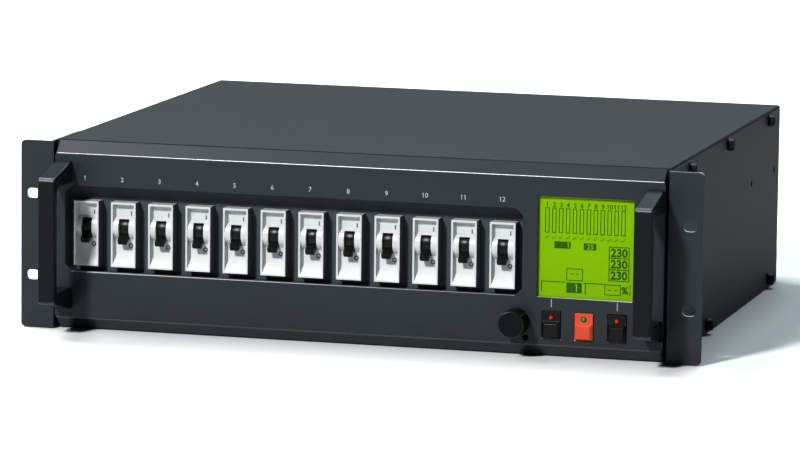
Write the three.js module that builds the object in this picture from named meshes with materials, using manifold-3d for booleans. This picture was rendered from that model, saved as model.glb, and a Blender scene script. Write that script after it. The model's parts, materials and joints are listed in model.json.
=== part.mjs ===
// Dimmer pack: a 19-inch rack unit, three units high, with a breaker for each channel.
// Millimetres. +X runs to the right along the front, +Y to the back, +Z up.
// While it is drawn, y = 0 is the front of the rack ears, x = 0 the middle and z = 0 the underside.
// At the end the whole group is moved so that y = 0 is halfway between its front and its back.

import * as THREE from 'three';
import Module from 'manifold-3d';
import { mergeVertices } from 'three/addons/utils/BufferGeometryUtils.js';

const wasm = await Module();
wasm.setup();

// Shared allowances
const overrun = 2;
const fitGap = 0.2;

// Rack ears
const rackWidth = 482.6;
const earReach = 23.9;
const earTopGap = 1.2;
const earSheet = 2.5;
const earFlangeDepth = 58;
const earCornerRadius = 3;
const rackSlotInset = 8.75;
const rackSlotSpacingZ = 57.15;
const rackSlotLength = 10;
const rackSlotWidth = 7;

// Casing: cover and tray
const bodyHeight = 131.8;
const bodyDepth = 375;
const coverSheet = 1.5;
const coverBendRadius = 2;
const coverFootGap = 0.3;
const traySheet = 1.5;
const trayLipHeight = 12;
const trayRearLip = 8;
const rearPanelSheet = 2;
const rearPanelSetback = 1.7;
const supportHoleRadius = 2.5;
const supportHoleDrop = 45.5;
const supportHoleInset = 17;
const supportHolePitch = 82;
const intakeSlotCount = 7;
const intakeSlotWidth = 4;
const intakeSlotHeight = 56;
const intakeSlotPitch = 12;
const intakeStart = 92;
const intakeDrop = 1.9;

// Fascia
const fasciaSideGap = 1.7;
const fasciaTopGap = 0.7;
const fasciaFootGap = 0.5;
const fasciaSheet = 2;
const fasciaProud = 2.6;
const bevelRun = 9.1;
const bevelDrop = 7.8;
const seamGap = 0.5;
const cornerReliefX = 1;
const cornerReliefZ = 2;
const fasciaTabDepth = 14;
const fasciaTabInset = 6;

// Window in the fascia and the sunk pan behind it
const windowInset = 7.5;
const windowDisplayGap = 10.3;
const windowHeight = 59.8;
const windowDrop = 0.1;
const windowChamfer = 5;
const panSheet = 1.2;
const panDepth = 12.2;
const panWindowGap = 0.4;

// Breakers
const breakerCount = 12;
const breakerEndRoom = 1;
const breakerRowShift = 0.1;
const breakerFootRoom = 3.8;
const breakerSetback = 2.6;
const breakerWidth = 17.9;
const noseHeight = 45.2;
const noseDepth = 22;
const shoulderHeight = 89;
const breakerDepth = 68;
const rimWidth = 1.3;
const rimBottom = 1.6;
const dishDepth = 4;
const dishDraft = 1.3;
const dishFloorDrop = 0.5;
const rampHeight = 6.6;
const barrelRadius = 9.8;
const leverAxisHeight = 27;
const leverSlotWidth = 7.4;
const leverSlotAbove = 6.4;
const leverSlotBelow = 7.7;
const barrelWall = 1.3;
const railNotchDepth = 5.8;

// Breaker levers
const drumGap = 0.6;
const drumSideGap = 0.4;
const nubSideStep = 0.2;
const nubReach = 15.6;
const nubRootHalf = 2.3;
const nubTipHalf = 1.7;
const nubRidgeCount = 3;
const nubRidgeDepth = 0.45;
const nubRidgeStart = 9.6;
const leverRestAngle = 37;
const pivotRadius = 1.5;
const pivotSink = 1.5;
const pivotGap = 0.4;

// Rail and bulkhead
const railHeight = 35;
const railHatHeight = 27;
const railDepth = 7.5;
const railSheet = 1;
const railOverhang = 8;
const bulkheadSheet = 1.5;
const bulkheadFoot = 14;
const bulkheadTopGap = 4;
const bulkheadHoleRadius = 14;
const bulkheadHoleCount = 4;
const bulkheadHoleHeight = 30;

// Display
const displayWidth = 66.4;
const displayHeight = 68.8;
const displayInset = 21.2;
const lensSetback = 1.1;
const lensThickness = 1.5;
const moduleMargin = 5;
const moduleDepth = 9.6;
const moduleStep = 0.8;

// Keys and their lamps
const keyPitch = 22.8;
const controlGapShares = [5.3, 9.5, 13.2];
const keyWidth = 12.8;
const keyHeight = 18.2;
const keyGap = 0.4;
const keyBaseProud = 0.8;
const keyPadProud = 2.6;
const keyPadChamfer = 1.9;
const keyPadHeight = 9.6;
const keyFootChamfer = 0.8;
const keySink = 1.4;
const keyTravel = 1.5;
const keyStemRadius = 2;
const keyStemLength = 4;
const keyStemGap = 0.3;
const lampRadius = 1.5;
const lampGap = 0.15;
const lampRise = 4.9;
const lampDome = 0.9;
const switchWidth = 8;

// Encoder and knob
const knobOffset = 47;
const knobRise = 0.9;
const knobFrontRadius = 9;
const knobSkirtRadius = 9.4;
const knobLength = 15;
const knobLift = 1;
const knobEdge = 0.5;
const knobBoreDepth = 11;
const knobGrooveWidth = 0.9;
const knobGrooveDepth = 0.5;
const knobGrooveAngle = 43;
const shaftRadius = 3;
const shaftGap = 0.25;
const bushRadius = 4.4;
const encoderSize = 13;
const encoderChamfer = 1.5;
const accessHoleRadius = 2.2;
const accessHoleOffset = 6.5;
const accessHoleDrop = 10.8;

// Control board
const boardSheet = 1.6;
const boardKnobRoom = 10.3;
const boardKnobRise = 13.4;
const boardSideRoom = 5.5;
const boardKeyRoom = 9.7;
const boardStepInset = 1.9;
const transformerWidth = 42;
const transformerHeight = 36;
const transformerDepth = 32;
const transformerChamfer = 4;
const transformerOffset = 8.7;
const transformerRise = 12.3;

// Handles
const handleEdgeGap = 0.15;
const handleWidth = 12.5;
const handleRise = 0.4;
const handleReach = 37;
const handleFootRoom = 5.8;
const handleFootHeight = 14.9;
const handleTaper = 7.5;
const gripDepth = 6;
const handleOuterRadius = 3.5;
const handleInnerRadius = 4;
const handleEdge = 0.9;

// Heat sink and power board
const powerSideGap = 9.2;
const powerMiddleGap = 18;
const powerFrontGap = 11.9;
const sinkFanGap = 15.1;
const sinkWidthShare = 0.42;
const sinkHeight = 40;
const sinkBase = 6;
const finCount = 13;
const finSheet = 2.2;
const moduleColumns = 3;
const moduleRows = 4;
const moduleWidth = 34;
const moduleLength = 30;
const moduleHeight = 15;
const moduleSideRoom = 6;
const moduleEndRoom = 9.5;
const powerBoardMargin = 4;

// Chokes
const chokeColumns = 4;
const chokeRows = 3;
const chokeGap = 2;
const chokeTerminalGap = 37;
const chokeBoreShare = 0.37;
const chokeHeight = 23;
const chokeEdge = 2;
const chokePlate = 2;

// Mains terminal block
const terminalPoles = 5;
const terminalPitch = 11;
const terminalDepth = 28;
const terminalHeight = 34;
const terminalStep = 10;
const terminalWireRadius = 3.2;
const terminalOffset = 7;
const terminalRearRoom = 51.3;

// Fans
const fanSize = 80;
const fanDepth = 25;
const fanRim = 2.5;
const fanCornerRadius = 4;
const fanFlange = 4;
const fanWaist = 3;
const fanHubRadius = 17;
const fanHubFrontGap = 2;
const fanMotorRadius = 16;
const fanMotorDepth = 4;
const fanSpokeWidth = 4;
const fanSpokeCount = 4;
const bladeCount = 7;
const bladeTipGap = 3.5;
const bladeSheet = 1.6;
const bladeDepth = 15;
const bladePitchAngle = 38;
const guardSlotWidth = 5.5;
const guardBarWidth = 4.5;

// Output sockets
const outputFlangeWidth = 94;
const outputFlangeHeight = 46;
const outputFlangeSheet = 3;
const outputCollarWidth = 80;
const outputCollarHeight = 35;
const outputCollarDepth = 15;
const outputWall = 2.5;
const outputInsertGap = 2.2;
const outputInsertSetback = 6;
const outputBackDepth = 26;
const contactColumns = 8;
const contactEndRoom = 8;
const contactRowRoom = 11;
const contactRadius = 1.9;
const contactDepth = 8;
const pegRadius = 3;
const pegLength = 4;

// Mains gland
const glandBoreRadius = 10.5;
const glandThreadRadius = 19.5;
const glandHexWall = 5.5;
const glandNutWall = 3.5;
const glandNutGap = 1.5;
const hexCorners = 6;
const glandFlangeDepth = 7;
const glandNutDepth = 17;
const glandDomeDepth = 5;
const glandDomeShare = 0.7;
const glandLockDepth = 6;
const glandTail = 9;

// Control sockets
const controlFlangeEdge = 1.2;
const controlFlangeHeight = 31;
const controlFlangeSheet = 2;
const controlBarrelRadius = 11.8;
const controlBarrelDepth = 24;
const controlWall = 2.2;
const controlCavityDepth = 13;
const controlPinRadius = 1;
const controlPinCircle = 5.5;
const controlPinCount = 5;
const controlPinSpread = 300;
const controlRingWall = 1.4;

// How the room on the rear panel is shared out between the pieces that stand in a row
const rearRowGapShares = [3.2, 8, 13, 25, 14, 43.2];
const glandGapShares = [75, 9.2];
const outputGapShares = [12.3, 12, 12.1];
const inletGapShares = [15.3, 15.5, 16.6];
const fanGapShares = [24.3, 24.1];

// Facet counts
const arcSteps = 2;
const cornerSteps = 1;
const roundSides = 14;
const smallRoundSides = 6;
const barrelSides = 20;
const drumSides = 16;
const knobSides = 32;
const mediumRoundSides = 10;

// Centres of pieces of the given widths in a row, with the room that they leave shared out as gaps
function spread(start, end, widths, gapShares) {
  const sum = (values) => values.reduce((total, value) => total + value, 0);
  const room = end - start - sum(widths);
  let edge = start;
  return widths.map((width, i) => {
    edge += room * gapShares[i] / sum(gapShares) + width;
    return edge - width / 2;
  });
}

// Values that the pieces share
const bodyWidth = rackWidth - earReach * 2;
const halfBody = bodyWidth / 2;
const coverInnerHalf = halfBody - coverSheet;
const coverInnerTop = bodyHeight - coverSheet;
const trayOuterHalf = coverInnerHalf - fitGap;
const trayInnerHalf = trayOuterHalf - traySheet;
const trayFloorTop = traySheet + fitGap;
const earInnerX = halfBody + fitGap;
const earHeight = bodyHeight - earTopGap;
const fasciaHalf = halfBody - fasciaSideGap;
const fasciaTop = bodyHeight - fasciaTopGap;
const fasciaBottom = fasciaFootGap;
const flatTop = fasciaTop - bevelDrop;
const flatBottom = fasciaBottom + bevelDrop;
const fasciaFront = -fasciaProud;
const fasciaBack = fasciaFront + fasciaSheet;
const bevelBack = fasciaFront + bevelRun;
const coverFront = bevelBack + seamGap;
const rearPanelBack = bodyDepth - rearPanelSetback;
const rearPanelFront = rearPanelBack - rearPanelSheet;
const rearPanelTop = coverInnerTop - fitGap;
const displayCentreX = fasciaHalf - displayInset - displayWidth / 2;
const [keyCentreZ, displayCentreZ] = spread(
  flatBottom, flatTop, [keyHeight, displayHeight], controlGapShares,
);
const knobCentreX = displayCentreX - knobOffset;
const knobCentreZ = keyCentreZ + knobRise;
const windowLeft = windowInset - fasciaHalf;
const windowRight = displayCentreX - displayWidth / 2 - windowDisplayGap;
const windowBottom = displayCentreZ - displayHeight / 2 - windowDrop;
const windowTop = windowBottom + windowHeight;
const breakerPitch = (windowRight - windowLeft - breakerEndRoom * 2) / breakerCount;
const breakerRowCentreX = (windowLeft + windowRight) / 2 - breakerRowShift;
const breakerCentreZ = windowBottom + breakerFootRoom + noseHeight / 2;
const breakerFront = fasciaFront + breakerSetback;
const leverAxisY = breakerFront + barrelRadius;
const pocketRadius = barrelRadius - barrelWall;
const drumRadius = pocketRadius - drumGap;
const drumWidth = leverSlotWidth - drumSideGap * 2;
const nubWidth = drumWidth - nubSideStep * 2;
const noseBottom = breakerCentreZ - noseHeight / 2;
const panBack = fasciaFront + panDepth;
const railFront = breakerFront + breakerDepth - railNotchDepth + fitGap;
const railBack = railFront + railDepth;
const bulkheadFront = railBack + fitGap;
const lensFront = fasciaFront + lensSetback;
const displayModuleFront = lensFront + lensThickness + fitGap;
const boardFront = displayModuleFront + moduleDepth + fitGap;
const handleFront = fasciaFront - handleReach;
const handleFootHalf = (flatTop - flatBottom) / 2 - handleFootRoom;
const handleFrontHalf = handleFootHalf - handleTaper;
const handleInnerHalf = handleFootHalf - handleFootHeight;
const fanBack = rearPanelFront - fitGap;
const fanBoreRadius = fanSize / 2 - fanRim;
const bladeReach = fanBoreRadius - bladeTipGap;
const glandHexRadius = glandThreadRadius + glandHexWall;
const glandNutRadius = glandThreadRadius + glandNutWall;
const controlFlangeWidth = (controlBarrelRadius + controlFlangeEdge) * 2;
const controlCavityRadius = controlBarrelRadius - controlWall;
const rearClearHalf = trayInnerHalf - trayRearLip;
const [fanLeftX, fanRightX, outputCentreX, controlInX, controlOutX] = spread(
  -rearClearHalf, rearClearHalf,
  [fanSize, fanSize, outputFlangeWidth, controlFlangeWidth, controlFlangeWidth], rearRowGapShares,
);
const [glandCentreX] = spread(
  outputCentreX + outputFlangeWidth / 2, rearClearHalf, [glandHexRadius * 2], glandGapShares,
);
const [outputLowZ, outputHighZ] = spread(
  trayFloorTop, rearPanelTop, [outputFlangeHeight, outputFlangeHeight], outputGapShares,
);
const [glandCentreZ, controlCentreZ] = spread(
  trayFloorTop, rearPanelTop, [glandHexRadius * 2, controlFlangeHeight], inletGapShares,
);
const [fanCentreZ] = spread(trayFloorTop, rearPanelTop, [fanSize], fanGapShares);
const fanCentres = [fanLeftX, fanRightX];
const outputHeights = [outputHighZ, outputLowZ];
const powerStart = bulkheadFront + bulkheadFoot + powerFrontGap;
const sinkWidth = trayInnerHalf * 2 * sinkWidthShare;
const sinkCentreX = powerSideGap - trayInnerHalf + sinkWidth / 2;
const sinkBack = fanBack - fanDepth - sinkFanGap;
const terminalCentreY = rearPanelFront - terminalRearRoom - terminalDepth / 2;
const chokeBankWidth = (trayInnerHalf - powerSideGap) * 2 - sinkWidth - powerMiddleGap;
const chokeBankLength = terminalCentreY - terminalDepth / 2 - chokeTerminalGap - powerStart;

// Turning a closed geometry into a solid and back

function solidOf(geometry) {
  const bare = geometry.clone();
  bare.deleteAttribute('normal');
  bare.deleteAttribute('uv');
  const merged = mergeVertices(bare);
  const index = merged.index.array;
  const triangles = [];
  for (let i = 0; i < index.length; i += 3) {
    const [a, b, c] = [index[i], index[i + 1], index[i + 2]];
    if (a !== b && b !== c && c !== a) triangles.push(a, b, c);
  }
  return new wasm.Manifold(new wasm.Mesh({
    numProp: 3,
    vertProperties: new Float32Array(merged.attributes.position.array),
    triVerts: new Uint32Array(triangles),
  }));
}

function geometryOf(solid) {
  const mesh = solid.getMesh();
  const geometry = new THREE.BufferGeometry();
  geometry.setAttribute('position', new THREE.BufferAttribute(mesh.vertProperties, 3));
  geometry.setIndex(new THREE.BufferAttribute(mesh.triVerts, 1));
  geometry.computeVertexNormals();
  return geometry;
}

function join(...solids) {
  return solids.reduce((sum, solid) => sum.add(solid));
}

function cut(solid, ...tools) {
  return tools.reduce((rest, tool) => rest.subtract(tool), solid);
}

// Outlines and prisms

function outline(points) {
  return new THREE.Shape(points.map(([u, v]) => new THREE.Vector2(u, v)));
}

function rectangle(u0, u1, v0, v1) {
  return outline([[u0, v0], [u1, v0], [u1, v1], [u0, v1]]);
}

function chamferedRectangle(u0, u1, v0, v1, chamfer) {
  return outline([
    [u0 + chamfer, v0], [u1 - chamfer, v0], [u1, v0 + chamfer], [u1, v1 - chamfer],
    [u1 - chamfer, v1], [u0 + chamfer, v1], [u0, v1 - chamfer], [u0, v0 + chamfer],
  ]);
}

function roundedRectangle(u0, u1, v0, v1, radius) {
  const shape = new THREE.Shape();
  shape.moveTo(u0 + radius, v0);
  shape.absarc(u1 - radius, v0 + radius, radius, -Math.PI / 2, 0);
  shape.absarc(u1 - radius, v1 - radius, radius, 0, Math.PI / 2);
  shape.absarc(u0 + radius, v1 - radius, radius, Math.PI / 2, Math.PI);
  shape.absarc(u0 + radius, v0 + radius, radius, Math.PI, Math.PI * 3 / 2);
  return shape;
}

function disc(u, v, radius) {
  return new THREE.Shape().absarc(u, v, radius, 0, Math.PI * 2);
}

function extrude(shape, length, steps) {
  return new THREE.ExtrudeGeometry(shape, { depth: length, bevelEnabled: false, curveSegments: steps });
}

// A profile in (y, z), run along x
function prismX(shape, x0, x1, steps = arcSteps) {
  const turn = new THREE.Matrix4().set(0, 0, 1, x0, 1, 0, 0, 0, 0, 1, 0, 0, 0, 0, 0, 1);
  return solidOf(extrude(shape, x1 - x0, steps).applyMatrix4(turn));
}

// An outline in (x, z), run along y
function prismY(shape, y0, y1, steps = arcSteps) {
  const turn = new THREE.Matrix4().set(1, 0, 0, 0, 0, 0, -1, y1, 0, 1, 0, 0, 0, 0, 0, 1);
  return solidOf(extrude(shape, y1 - y0, steps).applyMatrix4(turn));
}

// A plan in (x, y), run along z
function prismZ(shape, z0, z1, steps = arcSteps) {
  return solidOf(extrude(shape, z1 - z0, steps).translate(0, 0, z0));
}

function block(x0, x1, y0, y1, z0, z1) {
  const box = new THREE.BoxGeometry(x1 - x0, y1 - y0, z1 - z0);
  return solidOf(box.translate((x0 + x1) / 2, (y0 + y1) / 2, (z0 + z1) / 2));
}

function rodX(y, z, radius, x0, x1, sides = roundSides) {
  return prismX(disc(y, z, radius), x0, x1, sides / 2);
}

function rodY(x, z, radius, y0, y1, sides = roundSides) {
  return prismY(disc(x, z, radius), y0, y1, sides / 2);
}

// A profile in (radius, y), turned about a line along y
function turned(x, z, profile, sides) {
  const points = profile.map(([radius, y]) => new THREE.Vector2(radius, y));
  return solidOf(new THREE.LatheGeometry(points, sides, Math.PI / 2).translate(x, 0, z));
}

function polygonY(x, z, radius, y0, y1, corners) {
  const points = [];
  for (let i = 0; i < corners; i += 1) {
    const angle = Math.PI * 2 * i / corners;
    points.push([x + radius * Math.cos(angle), z + radius * Math.sin(angle)]);
  }
  return prismY(outline(points), y0, y1);
}

function degrees(angle) {
  return angle * Math.PI / 180;
}

// Finishes: each mesh gets a material of its own

const finishes = {
  coverPaint: { color: '#50565a', roughness: 0.5, metalness: 0.25 },
  fasciaPaint: { color: '#383d41', roughness: 0.55, metalness: 0.25 },
  zinc: { color: '#9a9d9c', roughness: 0.45, metalness: 0.8 },
  handlePaint: { color: '#272b2f', roughness: 0.5, metalness: 0.2 },
  panPaint: { color: '#23272a', roughness: 0.6, metalness: 0.2 },
  breakerBody: { color: '#d4d5d2', roughness: 0.45, metalness: 0 },
  blackPlastic: { color: '#15171a', roughness: 0.5, metalness: 0 },
  knobPlastic: { color: '#24282b', roughness: 0.6, metalness: 0 },
  orangePlastic: { color: '#e0492b', roughness: 0.5, metalness: 0 },
  redLamp: { color: '#d2201a', roughness: 0.25, metalness: 0 },
  greenLamp: { color: '#2f9a1e', roughness: 0.25, metalness: 0 },
  display: { color: '#86c005', roughness: 0.4, metalness: 0 },
  lens: { color: '#dfe8d8', roughness: 0.08, metalness: 0 },
  board: { color: '#1f5a38', roughness: 0.5, metalness: 0 },
  aluminium: { color: '#b9bcbd', roughness: 0.4, metalness: 0.9 },
  core: { color: '#6d5a2c', roughness: 0.6, metalness: 0.2 },
  greyPlastic: { color: '#8b8e8d', roughness: 0.55, metalness: 0 },
  steel: { color: '#8d9092', roughness: 0.35, metalness: 0.9 },
};

function piece(name, solid, finish) {
  const mesh = new THREE.Mesh(geometryOf(solid), new THREE.MeshStandardMaterial(finish));
  mesh.name = name;
  return mesh;
}

function placed(name, solid, finish, x, y, z) {
  const mesh = piece(name, solid, finish);
  mesh.position.set(x, y, z);
  return mesh;
}

// Casing

function supportHoles() {
  const last = bodyDepth - supportHoleInset;
  const height = bodyHeight - supportHoleDrop;
  const reach = halfBody + overrun;
  return join(
    rodX(last, height, supportHoleRadius, -reach, reach, mediumRoundSides),
    rodX(last - supportHolePitch, height, supportHoleRadius, -reach, reach, mediumRoundSides),
  );
}

function intakeSlots() {
  const middle = bodyHeight / 2 - intakeDrop;
  const slots = [];
  for (let i = 0; i < intakeSlotCount; i += 1) {
    const y = intakeStart + i * intakeSlotPitch;
    slots.push(block(
      -halfBody - overrun, -trayInnerHalf + overrun,
      y, y + intakeSlotWidth,
      middle - intakeSlotHeight / 2, middle + intakeSlotHeight / 2,
    ));
  }
  return join(...slots);
}

function topCover() {
  const outer = new THREE.Shape();
  const bend = halfBody - coverBendRadius;
  outer.moveTo(-halfBody, coverFootGap);
  outer.lineTo(-coverInnerHalf, coverFootGap);
  outer.lineTo(-coverInnerHalf, coverInnerTop);
  outer.lineTo(coverInnerHalf, coverInnerTop);
  outer.lineTo(coverInnerHalf, coverFootGap);
  outer.lineTo(halfBody, coverFootGap);
  outer.absarc(bend, bodyHeight - coverBendRadius, coverBendRadius, 0, Math.PI / 2);
  outer.absarc(-bend, bodyHeight - coverBendRadius, coverBendRadius, Math.PI / 2, Math.PI);
  const shell = prismY(outer, coverFront, bodyDepth, arcSteps);
  return cut(shell, supportHoles(), intakeSlots());
}

function baseTray() {
  const wallTop = coverInnerTop - fitGap;
  const trayBack = bodyDepth - fitGap;
  const lipHalf = fasciaHalf - fasciaSheet * 2;
  const floor = block(-trayOuterHalf, trayOuterHalf, coverFront, trayBack, 0, traySheet);
  const frontLip = block(-lipHalf, lipHalf, coverFront, coverFront + traySheet, 0, trayLipHeight);
  const walls = [-1, 1].map((side) => {
    const inner = side * trayInnerHalf;
    const outer = side * trayOuterHalf;
    const wall = block(Math.min(inner, outer), Math.max(inner, outer), coverFront, trayBack, 0, wallTop);
    const lipEdge = side * (trayInnerHalf - trayRearLip);
    const lip = block(
      Math.min(lipEdge, outer), Math.max(lipEdge, outer),
      rearPanelFront - fitGap - traySheet, rearPanelFront - fitGap, 0, wallTop,
    );
    return join(wall, lip);
  });
  return cut(join(floor, frontLip, ...walls), supportHoles(), intakeSlots());
}

function fanGuard(x) {
  const slots = [];
  const step = guardSlotWidth + guardBarWidth;
  const rows = Math.floor((fanBoreRadius - guardSlotWidth / 2) / step);
  for (let row = -rows; row <= rows; row += 1) {
    const z = fanCentreZ + row * step;
    const edge = Math.abs(row * step) + guardSlotWidth / 2;
    const half = Math.sqrt(fanBoreRadius ** 2 - edge ** 2);
    const shape = roundedRectangle(
      x - half, x + half, z - guardSlotWidth / 2, z + guardSlotWidth / 2, guardSlotWidth / 2,
    );
    slots.push(prismY(shape, rearPanelFront - overrun, rearPanelBack + overrun, cornerSteps));
  }
  const bar = block(
    x - guardBarWidth / 2, x + guardBarWidth / 2,
    rearPanelFront - overrun, rearPanelBack + overrun, 0, bodyHeight,
  );
  return cut(join(...slots), bar);
}

function outputCutouts() {
  return outputHeights.map((z) => block(
    outputCentreX - outputCollarWidth / 2 - fitGap, outputCentreX + outputCollarWidth / 2 + fitGap,
    rearPanelFront - overrun, rearPanelBack + overrun,
    z - outputCollarHeight / 2 - fitGap, z + outputCollarHeight / 2 + fitGap,
  ));
}

function rearPanel() {
  const half = trayInnerHalf - fitGap;
  const plate = block(-half, half, rearPanelFront, rearPanelBack, trayFloorTop, rearPanelTop);
  const through = [rearPanelFront - overrun, rearPanelBack + overrun];
  return cut(
    plate,
    ...fanCentres.map(fanGuard),
    ...outputCutouts(),
    rodY(glandCentreX, glandCentreZ, glandThreadRadius + fitGap, ...through),
    rodY(controlInX, controlCentreZ, controlBarrelRadius + fitGap, ...through),
    rodY(controlOutX, controlCentreZ, controlBarrelRadius + fitGap, ...through),
  );
}

// An ear is an angle: a plate with two slots, and a flange along the cover's side
function rackEar(side) {
  const tip = rackWidth / 2;
  const plate = new THREE.Shape();
  plate.moveTo(earInnerX, earHeight);
  plate.lineTo(earInnerX, 0);
  plate.absarc(tip - earCornerRadius, earCornerRadius, earCornerRadius, -Math.PI / 2, 0);
  plate.absarc(tip - earCornerRadius, earHeight - earCornerRadius, earCornerRadius, 0, Math.PI / 2);
  const slotX = tip - rackSlotInset;
  const slots = [-1, 1].map((row) => {
    const z = (earHeight + row * rackSlotSpacingZ) / 2;
    const hole = roundedRectangle(
      slotX - rackSlotLength / 2, slotX + rackSlotLength / 2,
      z - rackSlotWidth / 2, z + rackSlotWidth / 2, rackSlotWidth / 2,
    );
    return prismY(hole, -overrun, earSheet + overrun);
  });
  const flange = block(earInnerX, earInnerX + earSheet, 0, earFlangeDepth, 0, earHeight);
  const ear = cut(join(prismY(plate, 0, earSheet), flange), ...slots);
  return side < 0 ? ear.mirror([1, 0, 0]) : ear;
}

// Fascia: a sheet folded back along its top and bottom, closed at the ends

function fasciaProfile() {
  const slope = Math.atan2(bevelDrop, bevelRun);
  const foldShift = fasciaSheet * Math.tan((Math.PI / 2 - slope) / 2);
  const endShift = fasciaSheet / Math.cos(slope);
  return outline([
    [bevelBack, fasciaBottom], [bevelBack, fasciaBottom + endShift],
    [fasciaBack, flatBottom + foldShift], [fasciaBack, flatTop - foldShift],
    [bevelBack, fasciaTop - endShift], [bevelBack, fasciaTop],
    [fasciaFront, flatTop], [fasciaFront, flatBottom],
  ]);
}

function fasciaEnd(side) {
  const outer = fasciaHalf;
  const inner = outer - fasciaSheet;
  const fold = block(inner, outer, fasciaFront, bevelBack, flatBottom, flatTop);
  const tabOuter = trayInnerHalf - fitGap;
  const tab = block(
    tabOuter - fasciaSheet, tabOuter, bevelBack - fasciaSheet, bevelBack + fasciaTabDepth,
    fasciaBottom + fasciaTabInset, fasciaTop - fasciaTabInset,
  );
  const shelf = block(
    tabOuter - fasciaSheet, outer, bevelBack - fasciaSheet, bevelBack, flatBottom, flatTop,
  );
  const end = join(fold, shelf, tab);
  return side < 0 ? end.mirror([1, 0, 0]) : end;
}

function cornerRelief(side, top) {
  const edge = fasciaHalf;
  const level = top ? flatTop : flatBottom;
  const away = top ? 1 : -1;
  const relief = outline([
    [edge + overrun, level - away * cornerReliefZ], [edge, level - away * cornerReliefZ],
    [edge - cornerReliefX, level], [edge - cornerReliefX, level + away * (bevelDrop + overrun)],
    [edge + overrun, level + away * (bevelDrop + overrun)],
  ]);
  const tool = prismY(relief, fasciaFront - overrun, bevelBack + overrun);
  return side < 0 ? tool.mirror([1, 0, 0]) : tool;
}

function keyCentres() {
  return [-1, 0, 1].map((step) => displayCentreX + step * keyPitch);
}

function fasciaCutouts() {
  const through = [fasciaFront - overrun, fasciaBack + overrun];
  const display = rectangle(
    displayCentreX - displayWidth / 2, displayCentreX + displayWidth / 2,
    displayCentreZ - displayHeight / 2, displayCentreZ + displayHeight / 2,
  );
  const keys = keyCentres().map((x) => rectangle(
    x - keyWidth / 2 - keyGap, x + keyWidth / 2 + keyGap,
    keyCentreZ - keyHeight / 2 - keyGap, keyCentreZ + keyHeight / 2 + keyGap,
  ));
  return [
    ...[windowOutline(0), display, ...keys].map((shape) => prismY(shape, ...through)),
    rodY(knobCentreX, knobCentreZ, bushRadius + fitGap, ...through),
    rodY(knobCentreX + accessHoleOffset, knobCentreZ - accessHoleDrop, accessHoleRadius, ...through),
  ];
}

function frontFascia() {
  const folded = join(prismX(fasciaProfile(), -fasciaHalf, fasciaHalf), fasciaEnd(-1), fasciaEnd(1));
  const reliefs = [-1, 1].flatMap((side) => [cornerRelief(side, false), cornerRelief(side, true)]);
  return cut(folded, ...reliefs, ...fasciaCutouts());
}

function breakerCentres() {
  const first = breakerRowCentreX - (breakerCount - 1) * breakerPitch / 2;
  return Array.from({ length: breakerCount }, (_, i) => first + i * breakerPitch);
}

function windowOutline(grow) {
  return chamferedRectangle(
    windowLeft - grow, windowRight + grow, windowBottom - grow, windowTop + grow, windowChamfer,
  );
}

function recessTray() {
  const outer = prismY(windowOutline(panWindowGap + panSheet), fasciaBack + fitGap, panBack + panSheet);
  const inner = prismY(windowOutline(panWindowGap), fasciaBack - overrun, panBack);
  const slots = breakerCentres().map((x) => block(
    x - breakerWidth / 2 - fitGap, x + breakerWidth / 2 + fitGap,
    panBack - overrun, panBack + panSheet + overrun,
    breakerCentreZ - noseHeight / 2 - fitGap, breakerCentreZ + noseHeight / 2 + fitGap,
  ));
  return cut(outer, inner, ...slots);
}

// A handle: a bow with deep feet, drawn from the side and rounded along its edges
function handleProfile() {
  const reach = -handleReach;
  const foot = -fitGap;
  const innerFront = reach + gripDepth;
  const outer = handleOuterRadius;
  const inner = handleInnerRadius;
  const lean = Math.atan2(handleFootHalf - handleFrontHalf, handleReach);
  const shape = new THREE.Shape();
  shape.moveTo(foot, -handleFootHalf);
  shape.lineTo(foot, -handleInnerHalf);
  shape.absarc(innerFront + inner, inner - handleInnerHalf, inner, -Math.PI / 2, -Math.PI, true);
  shape.absarc(innerFront + inner, handleInnerHalf - inner, inner, Math.PI, Math.PI / 2, true);
  shape.lineTo(foot, handleInnerHalf);
  shape.lineTo(foot, handleFootHalf);
  shape.absarc(reach + outer, handleFrontHalf - outer, outer, Math.PI / 2 + lean, Math.PI);
  shape.absarc(reach + outer, outer - handleFrontHalf, outer, Math.PI, Math.PI * 3 / 2 - lean);
  return shape;
}

function handle() {
  const bow = new THREE.ExtrudeGeometry(handleProfile(), {
    depth: handleWidth - handleEdge * 2,
    bevelEnabled: true,
    bevelThickness: handleEdge,
    bevelSize: handleEdge,
    bevelOffset: -handleEdge,
    bevelSegments: 1,
    curveSegments: arcSteps,
  });
  const turn = new THREE.Matrix4().set(0, 0, 1, 0, 1, 0, 0, 0, 0, 1, 0, 0, 0, 0, 0, 1);
  bow.applyMatrix4(turn);
  bow.translate(handleEdge - handleWidth / 2, 0, 0);
  return solidOf(bow);
}

// Breaker: drawn with its rim at y = 0, the foot of its nose at z = 0 and its middle at x = 0

function dish() {
  const top = noseHeight - rimWidth;
  const floorHalf = breakerWidth / 2 - rimWidth - dishDraft;
  const mouthHalf = floorHalf + dishDraft * (dishDepth + overrun) / dishDepth;
  const side = outline([
    [-overrun, top], [dishDepth, top - dishFloorDrop], [dishDepth, rimBottom + rampHeight],
    [0, rimBottom], [-overrun, rimBottom],
  ]);
  const plan = outline([
    [-mouthHalf, -overrun], [mouthHalf, -overrun], [floorHalf, dishDepth], [-floorHalf, dishDepth],
  ]);
  const along = prismX(side, -breakerWidth, breakerWidth);
  return along.intersect(prismZ(plan, 0, noseHeight));
}

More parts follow.
